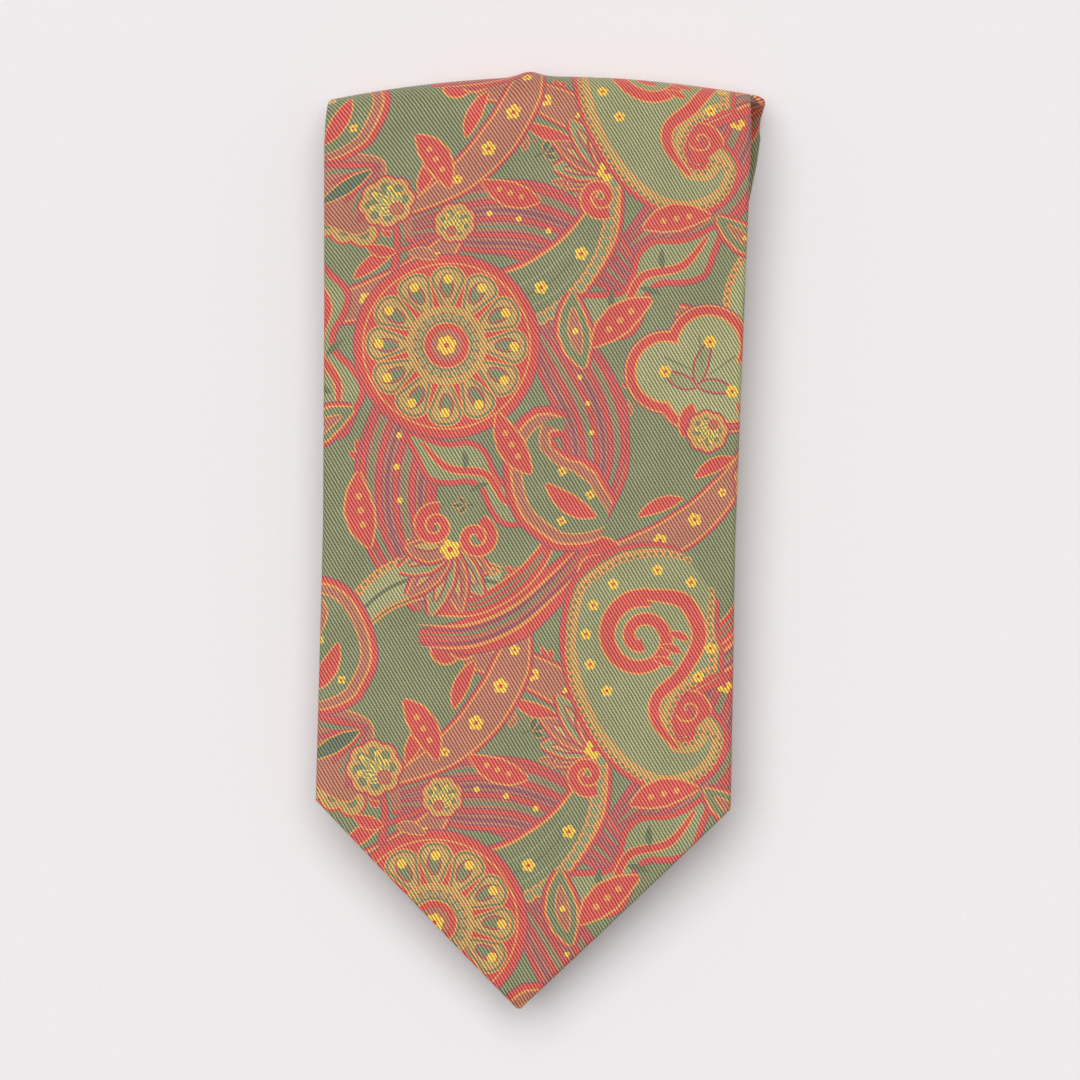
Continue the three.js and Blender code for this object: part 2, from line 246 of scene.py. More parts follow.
def linear(red, green, blue):
    """A colour given as 0 to 255 on screen, as the light that sRGB says it stands for."""
    return tuple(((v / 255 + 0.055) / 1.055) ** 2.4 for v in (red, green, blue))


INKS = {
    "ground": linear(126, 132, 98),
    "deep": linear(106, 114, 88),
    "teal": linear(96, 110, 88),
    "sage": linear(146, 148, 108),
    "pale": linear(160, 160, 116),
    "olive": linear(186, 158, 96),
    "red": linear(206, 80, 76),
    "rose": linear(178, 112, 92),
    "plum": linear(150, 86, 98),
    "orange": linear(218, 146, 84),
    "yellow": linear(238, 190, 70),
}
INK_NAMES = list(INKS)
STEP = 1.1
PLUM_LINE = 0.28


def smooth(points, closed=True):
    """A Catmull-Rom curve through the points, cut about every STEP millimetres."""
    p = [np.array(q, float) for q in points]
    count = len(p)
    out = []
    for i in range(count if closed else count - 1):
        if closed:
            a, b, c, d = p[i - 1], p[i], p[(i + 1) % count], p[(i + 2) % count]
        else:
            a, b, c, d = p[max(i - 1, 0)], p[i], p[i + 1], p[min(i + 2, count - 1)]
        steps = max(2, int(np.linalg.norm(c - b) / STEP))
        for k in range(steps):
            t = k / steps
            terms = (2 * b, c - a, 2 * a - 5 * b + 4 * c - d, 3 * b - a - 3 * c + d)
            out.append(0.5 * sum(term * t**power for power, term in enumerate(terms)))
    if not closed:
        out.append(p[-1])
    return np.array(out)


def normals_of(curve, closed):
    if closed:
        way = np.roll(curve, -1, 0) - np.roll(curve, 1, 0)
    else:
        way = np.gradient(curve, axis=0)
    way /= np.maximum(np.linalg.norm(way, axis=1, keepdims=True), 1e-9)
    return np.stack([way[:, 1], -way[:, 0]], axis=1)


def grow(curve, by):
    """The closed curve moved outwards."""
    area = np.sum(curve[:, 0] * np.roll(curve[:, 1], -1) - np.roll(curve[:, 0], -1) * curve[:, 1])
    return curve + normals_of(curve, True) * by * (1 if area > 0 else -1)


shapes = []
pose = {"move": (0, 0), "turn": 0.0, "size": 1.0, "flip": 1}


def fill(ink, curve):
    """Prints a closed curve, drawn in its motif's own millimetres, where the motif goes."""
    c, s = math.cos(pose["turn"]), math.sin(pose["turn"])
    local = np.asarray(curve, float) * (pose["flip"] * pose["size"], pose["size"])
    shapes.append((ink, local @ np.array([[c, s], [-s, c]]) + pose["move"]))


def around(centre, radius, angle):
    """The point at an angle in radians on a circle."""
    return centre[0] + radius * math.cos(angle), centre[1] + radius * math.sin(angle)


def fringed(layers):
    """A red edge prints with a thin plum line round it."""
    ink, out = layers[0]
    return [("plum", out + PLUM_LINE), *layers] if ink == "red" else layers


def blob(points, *layers):
    """A smooth closed shape. Each layer is (ink, how far it stands out), painted in that order."""
    curve = smooth(points)
    for ink, out in fringed(layers):
        fill(ink, grow(curve, out) if out else curve)


def ribbon(points, widths_along, out=0.0):
    """The outline of a smooth open stroke whose width runs through the given widths."""
    line = smooth(points, closed=False)
    side = normals_of(line, False)
    at = np.linspace(0, len(widths_along) - 1, len(line))
    wide = (np.interp(at, range(len(widths_along)), widths_along) / 2 + out)[:, None] * side
    return np.concatenate([line + wide, (line - wide)[::-1]])


def band(points, widths_along, *layers):
    """A smooth stroke. Layers are as in blob."""
    for ink, out in fringed(layers):
        fill(ink, ribbon(points, widths_along, out))


def circle(centre, radius, start=0.0, stop=360.0):
    """Points on a circle, with no closing point on a whole one."""
    whole = abs(stop - start) >= 360
    count = max(7, int(abs(math.radians(stop - start)) * radius / (STEP * 0.8)))
    angles = np.radians(np.linspace(start, stop, count, endpoint=not whole))
    return np.stack([centre[0] + radius * np.cos(angles), centre[1] + radius * np.sin(angles)], axis=1)


def strands(first, last, widths_along, inks):
    """Thin strokes side by side, shared out between a first and a last line."""
    first, last = np.array(first, float), np.array(last, float)
    for k, ink in enumerate(inks):
        t = k / max(1, len(inks) - 1)
        if ink:
            band(first + (last - first) * t, widths_along, (ink, 0))


def disc(centre, radius, *layers):
    for ink, out in layers:
        fill(ink, circle(centre, radius + out))


def floret(centre, radius, petals=5):
    """A small yellow flower with a red eye."""
    for k in range(petals):
        petal = around(centre, radius * 0.6, 2 * math.pi * k / petals + 0.3)
        fill("yellow", circle(petal, radius * 0.45))
    fill("red", circle(centre, radius * 0.3))


def beads(points, radius, spacing, *layers):
    """Round beads strung along a smooth line."""
    line = smooth(points, closed=False)
    gone = np.concatenate([[0], np.cumsum(np.linalg.norm(np.diff(line, axis=0), axis=1))])
    for ink, out in layers:
        for at in np.arange(0, gone[-1], spacing):
            centre = (np.interp(at, gone, line[:, 0]), np.interp(at, gone, line[:, 1]))
            fill(ink, circle(centre, radius + out))


def scroll(centre, outer, inner, start, turns, widths_along, *layers):
    """A spiral stroke that winds in from the outer to the inner radius."""
    count = max(8, int(abs(turns) * 14))
    points = []
    for k in range(count + 1):
        t = k / count
        angle = math.radians(start) + turns * 2 * math.pi * t
        points.append(around(centre, outer + (inner - outer) * t, angle))
    band(points, widths_along, *layers)


def leaf(base, tip, width, bow, *layers):
    """A pointed leaf from base to tip; bow bends it to its left."""
    base, tip = np.array(base, float), np.array(tip, float)
    way = tip - base
    left = np.array([-way[1], way[0]]) / np.linalg.norm(way)
    middle = (base + tip) / 2 + left * bow
    quarter = base + way * 0.25 + left * bow * 0.75
    three = base + way * 0.75 + left * bow * 0.75
    band([base, quarter, middle, three, tip], [0.1, width * 0.8, width, width * 0.7, 0.1], *layers)


def blossom(centre, radius, turn=0.0):
    """A round flower with a scalloped double rim, five veined petals and a red heart below them."""
    def at(out, angle):
        return around(centre, out, math.radians(angle + turn))

    rim = [at(radius * 0.72, a) for a in range(0, 360, 45)]
    rims = (("plum", 1.25), ("red", 1.0), ("orange", 0.7), ("olive", 0.3), ("orange", -0.2), ("ground", -0.5))
    for ink, out in rims:
        for lobe in rim:
            fill(ink, circle(lobe, radius * 0.32 + out))
        fill(ink, circle(centre, radius * 0.75 + min(out, 0)))
    foot = at(radius * 0.55, -90)
    for a, long in ((-10, 0.62), (35, 0.74), (90, 0.8), (145, 0.74), (190, 0.62)):
        vein = ("yellow", -radius * 0.11)
        leaf(foot, at(radius * long, a), radius * 0.32, 0, ("yellow", 0.25), ("sage", 0), vein)
    disc(foot, radius * 0.26, ("red", 0.3), ("rose", -0.1))


def petal_ring(centre, radius, angles, size):
    """Scalloped petals around a rosette, each with a double rim, an inner leaf and a yellow drop."""
    for a in angles:
        c, s = math.cos(math.radians(a)), math.sin(math.radians(a))

        def at(out, across):
            return (centre[0] + out * c - across * s, centre[1] + out * s + across * c)

        root, top, wide = radius - size, radius + size * 0.95, size * 0.78
        side = [(root, 0.25), (radius, 0.8), (radius + size * 0.5, 1), (top, 0.5)]
        left = [at(out, -across * wide) for out, across in side]
        right = [at(out, across * wide) for out, across in side]
        outline = [left[0], *right, *left[:0:-1]]
        blob(outline, ("orange", 0.35), ("ground", 0), ("orange", -0.6), ("olive", -0.95))
        tip = at(radius + size * 0.7, 0)
        leaf(at(root + size * 0.5, 0), tip, size * 0.5, 0.3, ("red", 0.25), ("ground", 0))
        fill("yellow", circle(at(radius + size * 0.42, 0), size * 0.24))


def sprig(foot, angle, size, ink):
    """Three small leaves on a stem."""
    a = math.radians(angle)
    fork = around(foot, size * 0.6, a)
    band([foot, fork], [0.5, 0.35], (ink, 0))
    for turn, long in ((-0.8, 0.75), (0.0, 1.0), (0.8, 0.75)):
        tip = around(fork, size * long, a + turn)
        leaf(fork, tip, size * 0.36, size * 0.08 * turn, ("orange", 0.22), (ink, 0))


# The motifs are the stock ones of paisley prints, each drawn about its own origin.

def rosette():
    disc((0, 0), 21, ("plum", 0.5), ("red", 0.2), ("orange", -1.7), ("red", -2.1))
    petal_ring((0, 0), 13.4, range(0, 360, 30), 4.9)
    disc((0, 0), 8.8, ("orange", 0.4), ("olive", 0), ("orange", -0.9), ("ground", -1.2))
    beads(circle((0, 0), 6.7), 0.6, 2.1, ("orange", 0.3), ("sage", 0))
    disc((0, 0), 5.0, ("orange", 0.4), ("red", 0), ("rose", -1.4))
    floret((0, 0), 2.2, 6)


DROP_SPINE = [(3, -21), (0, -13), (-1, -2), (2, 9), (9, 17), (18, 19.6), (24, 15), (24, 9), (20.6, 7.4)]
DROP_WIDTHS = [9, 29, 36, 30, 21, 14, 9, 5, 2]


def boteh():
    """The curled drop, with a beaded border and a scroll inside."""
    band(DROP_SPINE, DROP_WIDTHS, ("red", 2.6), ("ground", 1.4), ("orange", 0.9), ("olive", 0.4),
         ("orange", -0.8), ("sage", -1.2))
    edge = ribbon(DROP_SPINE[:-1], DROP_WIDTHS[:-1], -0.2)
    beads(edge, 0.55, 1.7, ("orange", 0.3), ("ground", -0.05))
    scroll((-1, -2), 9.4, 1.6, 250, -1.55, [3.8, 3.2, 2.7, 2.4, 2.2, 2.6], ("orange", 0.45), ("red", 0))
    stem = [(-5, -11), (3, -14), (10, -9), (11, 0), (9, 8), (12, 13), (19, 15.4)]
    band(stem, [2, 3.2, 3, 2.6, 2.4, 2, 0.6], ("orange", 0.45), ("red", 0))
    for k in range(3):
        leaf((8.4, -7 + 3.4 * k), (3.6, -6 + 3.4 * k), 1.6, 0.3, ("orange", 0.3), ("red", 0))
    for at in ((-13, -9), (-14.4, -2.5), (-12.4, 4), (-8, 9.4), (-1.6, 12.6), (13.6, -8), (14.6, -1),
               (-6, -17), (2, -18.6)):
        floret(at, 1.3)


def small_boteh():
    spine, wide = [(1, -10), (0, -4), (1, 3), (5, 8.4), (10, 9), (12, 5.6)], [6, 14, 14, 9, 5, 1]
    band(spine, wide, ("red", 1.6), ("orange", 0.5), ("rose", 0), ("orange", -1.6), ("ground", -1.95))
    leaf((0.6, -8), (1, 3), 3.4, 0.8, ("orange", 0.35), ("red", 0))
    for at in ((-3.4, -3), (3.4, -5), (4.4, 1.6)):
        floret(at, 0.9, 4)


def trefoil():
    """Three round lobes in a thick red border."""
    lobes = [((-7.4, -1), 6.4), ((0, 7), 6.6), ((7.4, -1), 6.4), ((0, -3), 6.4)]
    for ink, out in (("plum", 2.9), ("orange", 2.6), ("red", 2.2), ("orange", 0.5), ("pale", 0)):
        for at, radius in lobes:
            fill(ink, circle(at, radius + out))
    for at in ((-7.6, -1), (0, 8), (7.6, -1)):
        leaf((0, -2), at, 2.6, 0.5, ("red", 0.25), ("sage", 0))
        floret(at, 1.4, 6)
    for turn in (-60, 0, 60):
        a = math.radians(turn + 90)
        band([around((0, 0), 2, a), around((0, 0), 9, a + 0.3)], [0.3, 0.5], ("ground", 0))
    leaf((0, -6), (0, -13.6), 3.4, 0, ("orange", 0.4), ("red", 0))


def palmette():
    """Leaves fanned out over a pair of scrolls."""
    for a, long in ((-75, 10), (-50, 12.6), (-25, 14.4), (0, 15.6), (25, 14.4), (50, 12.6), (75, 10)):
        tip = (long * math.sin(math.radians(a)), long * math.cos(math.radians(a)))
        face = "rose" if a % 50 else "sage"
        leaf((0, 0), tip, 5.0, 0.8 * a / 75, ("red", 0.8), ("orange", 0.35), (face, 0))
        low, high = ((tip[0] * part, tip[1] * part) for part in (0.25, 0.8))
        leaf(low, high, 1.6, 0, ("red", 0.2), ("olive", 0))
    for way in (-1, 1):
        start = -90 if way > 0 else 270
        scroll((4.6 * way, -3.4), 4.0, 0.9, start, 1.3 * way, [2.2, 1.8, 1.4], ("orange", 0.4), ("red", 0))
    floret((0, 0.6), 2.2)


ARC = [(-27, -9), (-17, 2), (-4, 7.4), (9, 6.6), (20, 0), (27, -9)]


def arc_leaf():
    """A long bent leaf with a beaded edge and a row of florets."""
    wide = [0.6, 8, 11.4, 12, 9, 0.6]
    band(ARC, wide, ("red", 1.3), ("orange", 0.6), ("ground", 0))
    upper = [(x, y + w / 2) for (x, y), w in zip(ARC, wide)]
    beads(upper, 1.1, 2.2, ("orange", 0.45), ("sage", 0))
    above, below = ([(x, y + shift) for x, y in ARC[1:-1]] for shift in (2.6, -2.6))
    strands(above, below, [0.1, 0.35, 0.35, 0.1], ["sage", None, "deep", None, "sage"])
    for at in ((-13, 4.4), (-2, 7.6), (9, 6.4), (18, 1)):
        floret(at, 1.5)


def plume():
    """A long acanthus leaf of red lobes, thin lines inside it, that ends in a scroll."""
    line = [(-26, 7), (-16, 8.6), (-6, 6.4), (3, 1), (11, -5)]
    for k in range(9):
        lobe = (-21 + 3.7 * k, 10.6 - 0.1785 * (k + 0.6) ** 2)
        disc(lobe, 2.9 - 0.08 * k, ("orange", 0.5), ("red", 0))
    band(line, [1.4, 6.4, 8.2, 6.6, 3.6], ("red", 0.5))
    strands([(x, y + 2.2) for x, y in line], [(x, y - 2.4) for x, y in line], [0.1, 0.7, 0.8, 0.6, 0.1],
            ["orange", "plum", "rose", "ground", "plum", "orange"])
    stem = [(-24, 2), (-13, 2.4), (-4, -1), (2, -6), (6, -12)]
    band(stem, [0.6, 3.2, 3.6, 3, 0.8], ("orange", 0.5), ("red", 0.1), ("ground", -0.9), ("red", -1.4))
    scroll((13, -0.6), 5.6, 1.3, -110, 1.35, [3.6, 3.2, 2.7, 2.2, 2.0], ("orange", 0.45), ("red", 0))


def swoosh():
    """A pale bent leaf with a corded edge."""
    line = [(-19, -5), (-9, 1.6), (2, 3.4), (12, 0), (20, -7)]
    band(line, [5.4, 8, 7.6, 5.4, 1.2], ("orange", 0.9), ("deep", 0.4), ("orange", 0.1), ("pale", -0.4))
    band(line, [0.8, 0.9, 0.8, 0.7, 0.3], ("deep", 0))
    cord = [(x, y + w) for (x, y), w in zip(line, (2.8, 4.2, 4.0, 2.9, 0.8))]
    beads(cord, 0.6, 1.7, ("orange", 0.35), ("ground", -0.15))


def scalloped_fan():
    lobes = circle((0, -8), 17, 35, 145)[::5]
    for ink, out in (("red", 1.0), ("orange", 0.5), ("olive", 0.15), ("orange", -0.9), ("ground", -1.15)):
        for at in lobes:
            fill(ink, circle(at, 2.5 + out))
    field = [(-13, 2), (-7, 7.4), (0, 9), (7, 7.4), (13, 2), (6, -6), (0, -10), (-6, -6)]
    blob(field, ("orange", 0.4), ("rose", 0))
    strands([(-10, 2), (-5, -3), (0, -9)], [(10, 2), (5, -3), (0, -9)], [0.3, 1.5, 0.3],
            ["red", "ground", "red", "plum", "red", "ground", "red"])
    leaf((0, -7), (0, 7), 3.4, 0, ("orange", 0.4), ("teal", 0))


def stream():
    """Thin lines flowing side by side, which give the red fields their hatched look."""
    band([(0, 26), (-1, 12), (1, 0), (7, -12), (16, -22)], [3, 13, 15, 12, 3], ("red", 0.8), ("rose", 0))
    first = [(-3, 24), (-7, 12), (-6, 0), (0, -12), (13, -22)]
    last = [(3, 24), (6, 12), (8, 0), (13, -10), (19, -20)]
    strands(first, last, [0.2, 0.8, 0.95, 0.8, 0.2],
            ["red", "ground", "red", "plum", "red", "ground", "red", "plum", "red"])
    for at in ((-1.4, 8), (0.4, 2), (3.4, -4)):
        fill("yellow", circle(at, 0.65))
    floret((9, -11.4), 1.6)


def starry_band():
    line = [(-22, 9), (-14, 2), (-4, -3), (8, -5), (20, -3)]
    band(line, [1.2, 5.6, 7.2, 6.6, 1.4], ("red", 0.9), ("orange", 0.45), ("rose", 0))
    for at, radius in (((-13, 1.4), 1.0), ((-5, -2.4), 1.6), ((4, -4.4), 1.6), ((12, -4.4), 1.1)):
        floret(at, radius)
    leaf((-18, 8), (-8, 6.6), 3.0, 0.6, ("orange", 0.35), ("red", 0))
    leaf((-4, 3), (7, 2.4), 3.0, 0.6, ("orange", 0.35), ("red", 0))


def wavy_leaf():
    """A green leaf whose red edge waves, with a vein."""
    right = [(3.5 + 2.6 * math.sin(1.35 * k), 15 - 4.4 * k) for k in range(8)]
    left = [(-3.5 + 2.6 * math.sin(1.35 * k + 1.4), 15 - 4.4 * k) for k in range(8)]
    outline = [(0, 20), *right, (0, -20), *left[::-1]]
    blob(outline, ("red", 1.3), ("sage", 0))
    vein = [(0, 17), (2, 8), (-1.6, -1), (1.6, -9), (0, -17)]
    band(vein, [0.4, 1.5, 1.6, 1.4, 0.3], ("orange", 0.35), ("red", 0))
    for x, y in ((-4, 7), (4.4, 0), (-3.4, -8)):
        leaf((0, y - 3), (x, y), 1.6, 0.3, ("deep", 0))


def flower_spray():
    band([(-8, -9), (-3, -4), (0, 1)], [1.6, 1.4, 0.8], ("red", 0))
    band([(-5, -6), (1, -8), (6, -9.4)], [1.0, 1.0, 0.7], ("red", 0))
    leaf((-5, -6), (-9, 0), 2.8, 0.6, ("orange", 0.35), ("red", 0))
    leaf((-3, -8), (1, -13.6), 2.6, 0.6, ("orange", 0.35), ("rose", 0))
    blossom((1.4, 5.4), 5.4, 10)
    blossom((9.4, -9.4), 3.8, -60)


def lens_leaf():
    leaf((-8, 0), (8, 0), 6.2, 0.9, ("red", 1.1), ("orange", 0.5), ("ground", 0))
    leaf((-5, 0.3), (5, 0.3), 2.6, 0.4, ("orange", 0.3), ("rose", 0))
    fill("yellow", circle((0, 0.6), 0.7))


def red_leaf():
    leaf((-8, 0), (8, 0), 6.0, 1.0, ("orange", 0.5), ("red", 0))
    for x in (-3, 0, 3):
        fill("orange", circle((x, 0.7), 0.75))


# One unit of the print, from the ground up: motif, place, turn in degrees, size and 1 or -1 to mirror it.
LAYOUT = [
    (stream, (40, 84), 130, 1.1, 1),
    (stream, (-34, 14), -20, 1.15, 1),
    (stream, (12, 30), 35, 1.0, -1),
    (stream, (-4, 74), 95, 1.1, -1),
    (starry_band, (-38, 60), 40, 1.1, 1),
    (starry_band, (48, 34), 110, 1.1, -1),
    (starry_band, (2, 96), 165, 1.0, 1),
    (starry_band, (-14, 96), 70, 1.1, 1),
    (starry_band, (30, 6), 20, 1.0, -1),
    (wavy_leaf, (-50, 44), 10, 1.05, 1),
    (wavy_leaf, (24, 60), -50, 1.0, 1),
    (wavy_leaf, (-14, 14), 60, 0.9, -1),
    (swoosh, (-30, 118), 25, 1.1, -1),
    (swoosh, (50, 58), 80, 1.05, 1),
    (plume, (0, 122), 190, 1.1, -1),
    (plume, (40, 106), 250, 1.0, 1),
    (scalloped_fan, (-46, 84), 120, 1.0, 1),
    (arc_leaf, (-6, 64), 205, 1.05, 1),
    (trefoil, (36, 38), -15, 1.05, 1),
    (palmette, (-20, -2), 165, 1.05, 1),
    (palmette, (14, 84), 35, 1.0, 1),
    (rosette, (-22, 44), 0, 1.0, 1),
    (boteh, (24, 108), 150, 1.0, -1),
    (small_boteh, (4, 10), 60, 1.25, 1),
    (small_boteh, (-46, 104), -30, 1.15, -1),
    (flower_spray, (-34, 74), 40, 1.0, 1),
    (flower_spray, (50, 20), 200, 1.0, 1),
    (lens_leaf, (8, 48), 100, 1.1, 1),
    (lens_leaf, (-50, 24), 35, 1.1, 1),
    (lens_leaf, (46, 72), 150, 1.0, 1),
    (red_leaf, (18, 50), 40, 1.1, 1),
    (red_leaf, (-40, 6), 100, 1.1, 1),
    (red_leaf, (-6, 22), 120, 1.0, 1),
    (red_leaf, (30, 74), 15, 1.0, 1),
    (red_leaf, (-26, 88), -60, 1.0, 1),
    (red_leaf, (-8, 80), 160, 0.9, 1),
]
# The units repeat straight up, and half a unit up to the side.
REPEAT = (0.0, 132.0)
REPEAT_ACROSS = (112.0, 66.0)
SPRIGS = 34


def sprigs():
    """Small sprigs at random places, under the motifs."""
    for _ in range(SPRIGS):
        foot = (rng.uniform(-REPEAT_ACROSS[0] / 2, REPEAT_ACROSS[0] / 2), rng.uniform(0, REPEAT[1]))
        sprig(foot, rng.uniform(0, 360), rng.uniform(3.0, 4.6), rng.choice(["red", "red", "rose", "teal"]))


sprigs()
for motif, move, turn, size, flip in LAYOUT:
    pose.update(move=move, turn=math.radians(turn), size=size, flip=flip)
    motif()


# ---- cutting, printing and folding the cloth ----------------------------------------------------

BACK = -HALF - 0.12
LEFT_ROLL, RIGHT_ROLL = 0.8, 0.95
TURN_STEP = math.radians(12)
STRAIGHT_STEP = 6.0
GRID_STEP = 5.0
HIDDEN_DETAIL = 45.0
PAIRS_AT_ONCE = 400_000
ROWS_OF_PRINT, COLUMNS_OF_PRINT = range(-4, 13), range(-2, 3)
CDT_TOLERANCE, SLIVER = 1e-4, 1e-7
HIDDEN_FROM = 580.0
ROLL_STEPS = 6
PINCH = 2.0
# The cloth's relief: its depth, how far from a roll it starts, and the lengths of its waves.
RELIEF, RELIEF_FADE = 0.1, 8.0
WAVE_ACROSS, WAVE_SWAY, WAVE_ALONG = 9.0, 17.0, 13.0
NUDGE = 0.02


def roll_radius(q, h):
    return np.minimum(np.where(q > 0, RIGHT_ROLL, LEFT_ROLL), 0.8 * h)


def cut_half(side, s):
    """How far the cut cloth reaches from its middle line on one side."""
    h = half_width(s)
    r = roll_radius(side, h)
    return 2 * (h - r) + math.pi * r + flap_reach(s)


def fold(q, s):
    """Turns both sides of the flat cloth to the back. Gives the place across and the height."""
    h = half_width(s)
    r = roll_radius(q, h)
    a, flat = np.abs(q), h - r
    angle = np.clip((a - flat) / r, 0, math.pi)
    behind = np.maximum(a - flat - math.pi * r, 0)
    u = np.sign(q) * (np.minimum(a, flat) + r * np.sin(angle) - behind)
    n = HALF - r * (1 - np.cos(angle))
    wave = np.sin(q / WAVE_ACROSS + np.sin(s / WAVE_SWAY)) * np.sin(s / WAVE_ALONG + 1)
    n = n - RELIEF * smoothstep(0, RELIEF_FADE, flat - a) * (1 + wave) / 2
    pinch = np.sqrt(np.clip(np.minimum(s, LENGTH - s) / PINCH, 0, 1))
    return u, n * pinch


def on_strip(q, s):
    u, n = fold(q, s)
    return place(s, u, n)


def stations(start, finish):
    """Distances along the strip: each change of its outline or way, and points between them."""
    marks = {start, finish, *widths[:, 0], BLADE_FLAPS_MEET, TAIL_FLAPS_MEET}
    for at, length, turn, *_ in path.pieces:
        steps = math.ceil(abs(turn) / TURN_STEP) if turn else math.ceil(length / STRAIGHT_STEP)
        marks.update(at + length * k / steps for k in range(steps + 1))
    return np.array(sorted(m for m in marks if start <= m <= finish))


def print_tiles(low, high, shift, smallest, hidden_from):
    """The print's shapes over a flat area, in painting order, as (ink, points in cloth millimetres).

    Shapes smaller than the smallest are left out. Beyond hidden_from, inside the roll, only those
    larger than HIDDEN_DETAIL are kept.
    """
    to_cloth = np.array([-BLADE_X, -FRONT_Y_AT_ZERO]) + shift
    for ink, shape in shapes:
        size = shape.max(axis=0) - shape.min(axis=0)
        if size[0] * size[1] < smallest:
            continue
        end = high[1] if size[0] * size[1] > HIDDEN_DETAIL else hidden_from
        at = shape + to_cloth
        for along in ROWS_OF_PRINT:
            for across in COLUMNS_OF_PRINT:
                move = np.array(REPEAT) * along + np.array(REPEAT_ACROSS) * across
                here = at + move
                if (here.max(axis=0) > low).all() and (here.min(axis=0) < (high[0], end)).all():
                    yield ink, here


def inside(shape, places):
    """Which places the closed shape winds round, tested in batches so that little memory is used."""
    a, b = shape, np.roll(shape, -1, axis=0)
    wound = np.zeros(len(places), int)
    batch = max(1, PAIRS_AT_ONCE // len(shape))
    for first in range(0, len(places), batch):
        x, y = places[first:first + batch, :1], places[first:first + batch, 1:]
        left = (b[:, 0] - a[:, 0]) * (y - a[:, 1]) - (x - a[:, 0]) * (b[:, 1] - a[:, 1])
        rising = (a[:, 1] <= y) & (b[:, 1] > y) & (left > 0)
        falling = (a[:, 1] > y) & (b[:, 1] <= y) & (left < 0)
        wound[first:first + batch] = rising.sum(axis=1) - falling.sum(axis=1)
    return wound != 0


def paint_over(inks, places, order, heights, shape, ink):
    """Gives the ink to each place inside the shape; order sorts the places by height."""
    low, high = shape.min(axis=0), shape.max(axis=0)
    near = order[np.searchsorted(heights, low[1]):np.searchsorted(heights, high[1])]
    near = near[(places[near, 0] > low[0]) & (places[near, 0] < high[0])]
    inks[near[inside(shape, places[near])]] = ink


def ring_edges(start, count):
    return [(start + i, start + (i + 1) % count) for i in range(count)]


def print_mesh(name, outline, lines, dots, carry, shift=(0, 0), smallest=0.0, hidden_from=math.inf):
    """Cuts a piece to its flat outline, prints it, and carries it into place."""
    outline = np.asarray(outline, float)
    low, high = outline.min(axis=0), outline.max(axis=0)
    painted = list(print_tiles(low, high, np.array(shift), smallest, min(hidden_from, high[1])))
    points, edges, count = [outline], ring_edges(0, len(outline)), len(outline)
    for line in lines:
        points.append(line)
        edges += [(count + i, count + i + 1) for i in range(len(line) - 1)]
        count += len(line)
    for _, shape in painted:
        points.append(shape)
        edges += ring_edges(count, len(shape))
        count += len(shape)
    points.append(dots)
    flat = [Vector(p) for p in np.concatenate(points)]
    verts, _, tris, *_ = delaunay_2d_cdt(flat, edges, [], 0, CDT_TOLERANCE, False)
    flat, tri = np.array([(v.x, v.y) for v in verts]), np.array(tris)
    a, b, c = flat[tri[:, 0]], flat[tri[:, 1]], flat[tri[:, 2]]
    area = (b[:, 0] - a[:, 0]) * (c[:, 1] - a[:, 1]) - (b[:, 1] - a[:, 1]) * (c[:, 0] - a[:, 0])
    places = (a + b + c) / 3
    tri[area < 0] = tri[area < 0][:, ::-1]
    order = np.argsort(places[:, 1])
    heights = places[order, 1]
    ink = np.full(len(tri), -1)
    paint_over(ink, places, order, heights, outline, INK_NAMES.index("ground"))
    cloth = ink >= 0
    for shape_ink, shape in painted:
        paint_over(ink, places, order, heights, shape, INK_NAMES.index(shape_ink))
    keep = cloth & (np.abs(area) > SLIVER)
    tri, ink = tri[keep], ink[keep]
    used, tri = np.unique(tri, return_inverse=True)
    tri, flat = tri.reshape(-1, 3), flat[used]
    across, along = flat[:, 0], flat[:, 1]
    where = carry(across, along)
    normal = np.cross(carry(across + NUDGE, along) - carry(across - NUDGE, along),
                      carry(across, along + NUDGE) - carry(across, along - NUDGE))
    normal /= np.maximum(np.linalg.norm(normal, axis=1, keepdims=True), 1e-12)
    mesh = bpy.data.meshes.new(name)
    mesh.from_pydata((where * MM).tolist(), [], tri.tolist())
    colours = np.array([(*INKS[k], 1.0) for k in INK_NAMES])
    layer = mesh.color_attributes.new("ink", "BYTE_COLOR", "CORNER")
    layer.data.foreach_set("color", np.repeat(colours[ink], 3, axis=0).ravel())
    uv = mesh.uv_layers.new(name="cloth")
    uv.data.foreach_set("uv", (flat[tri.ravel()] * MM).ravel())
    mesh.normals_split_custom_set_from_vertices(normal.tolist())
    piece = bpy.data.objects.new(name, mesh)
    scene.collection.objects.link(piece)
    across, along = outline[:, 0], outline[:, 1]
    cut = np.abs(np.sum(across * np.roll(along, -1) - np.roll(across, -1) * along)) / 2
    return piece, (high - low) * MM, cut * MM * MM


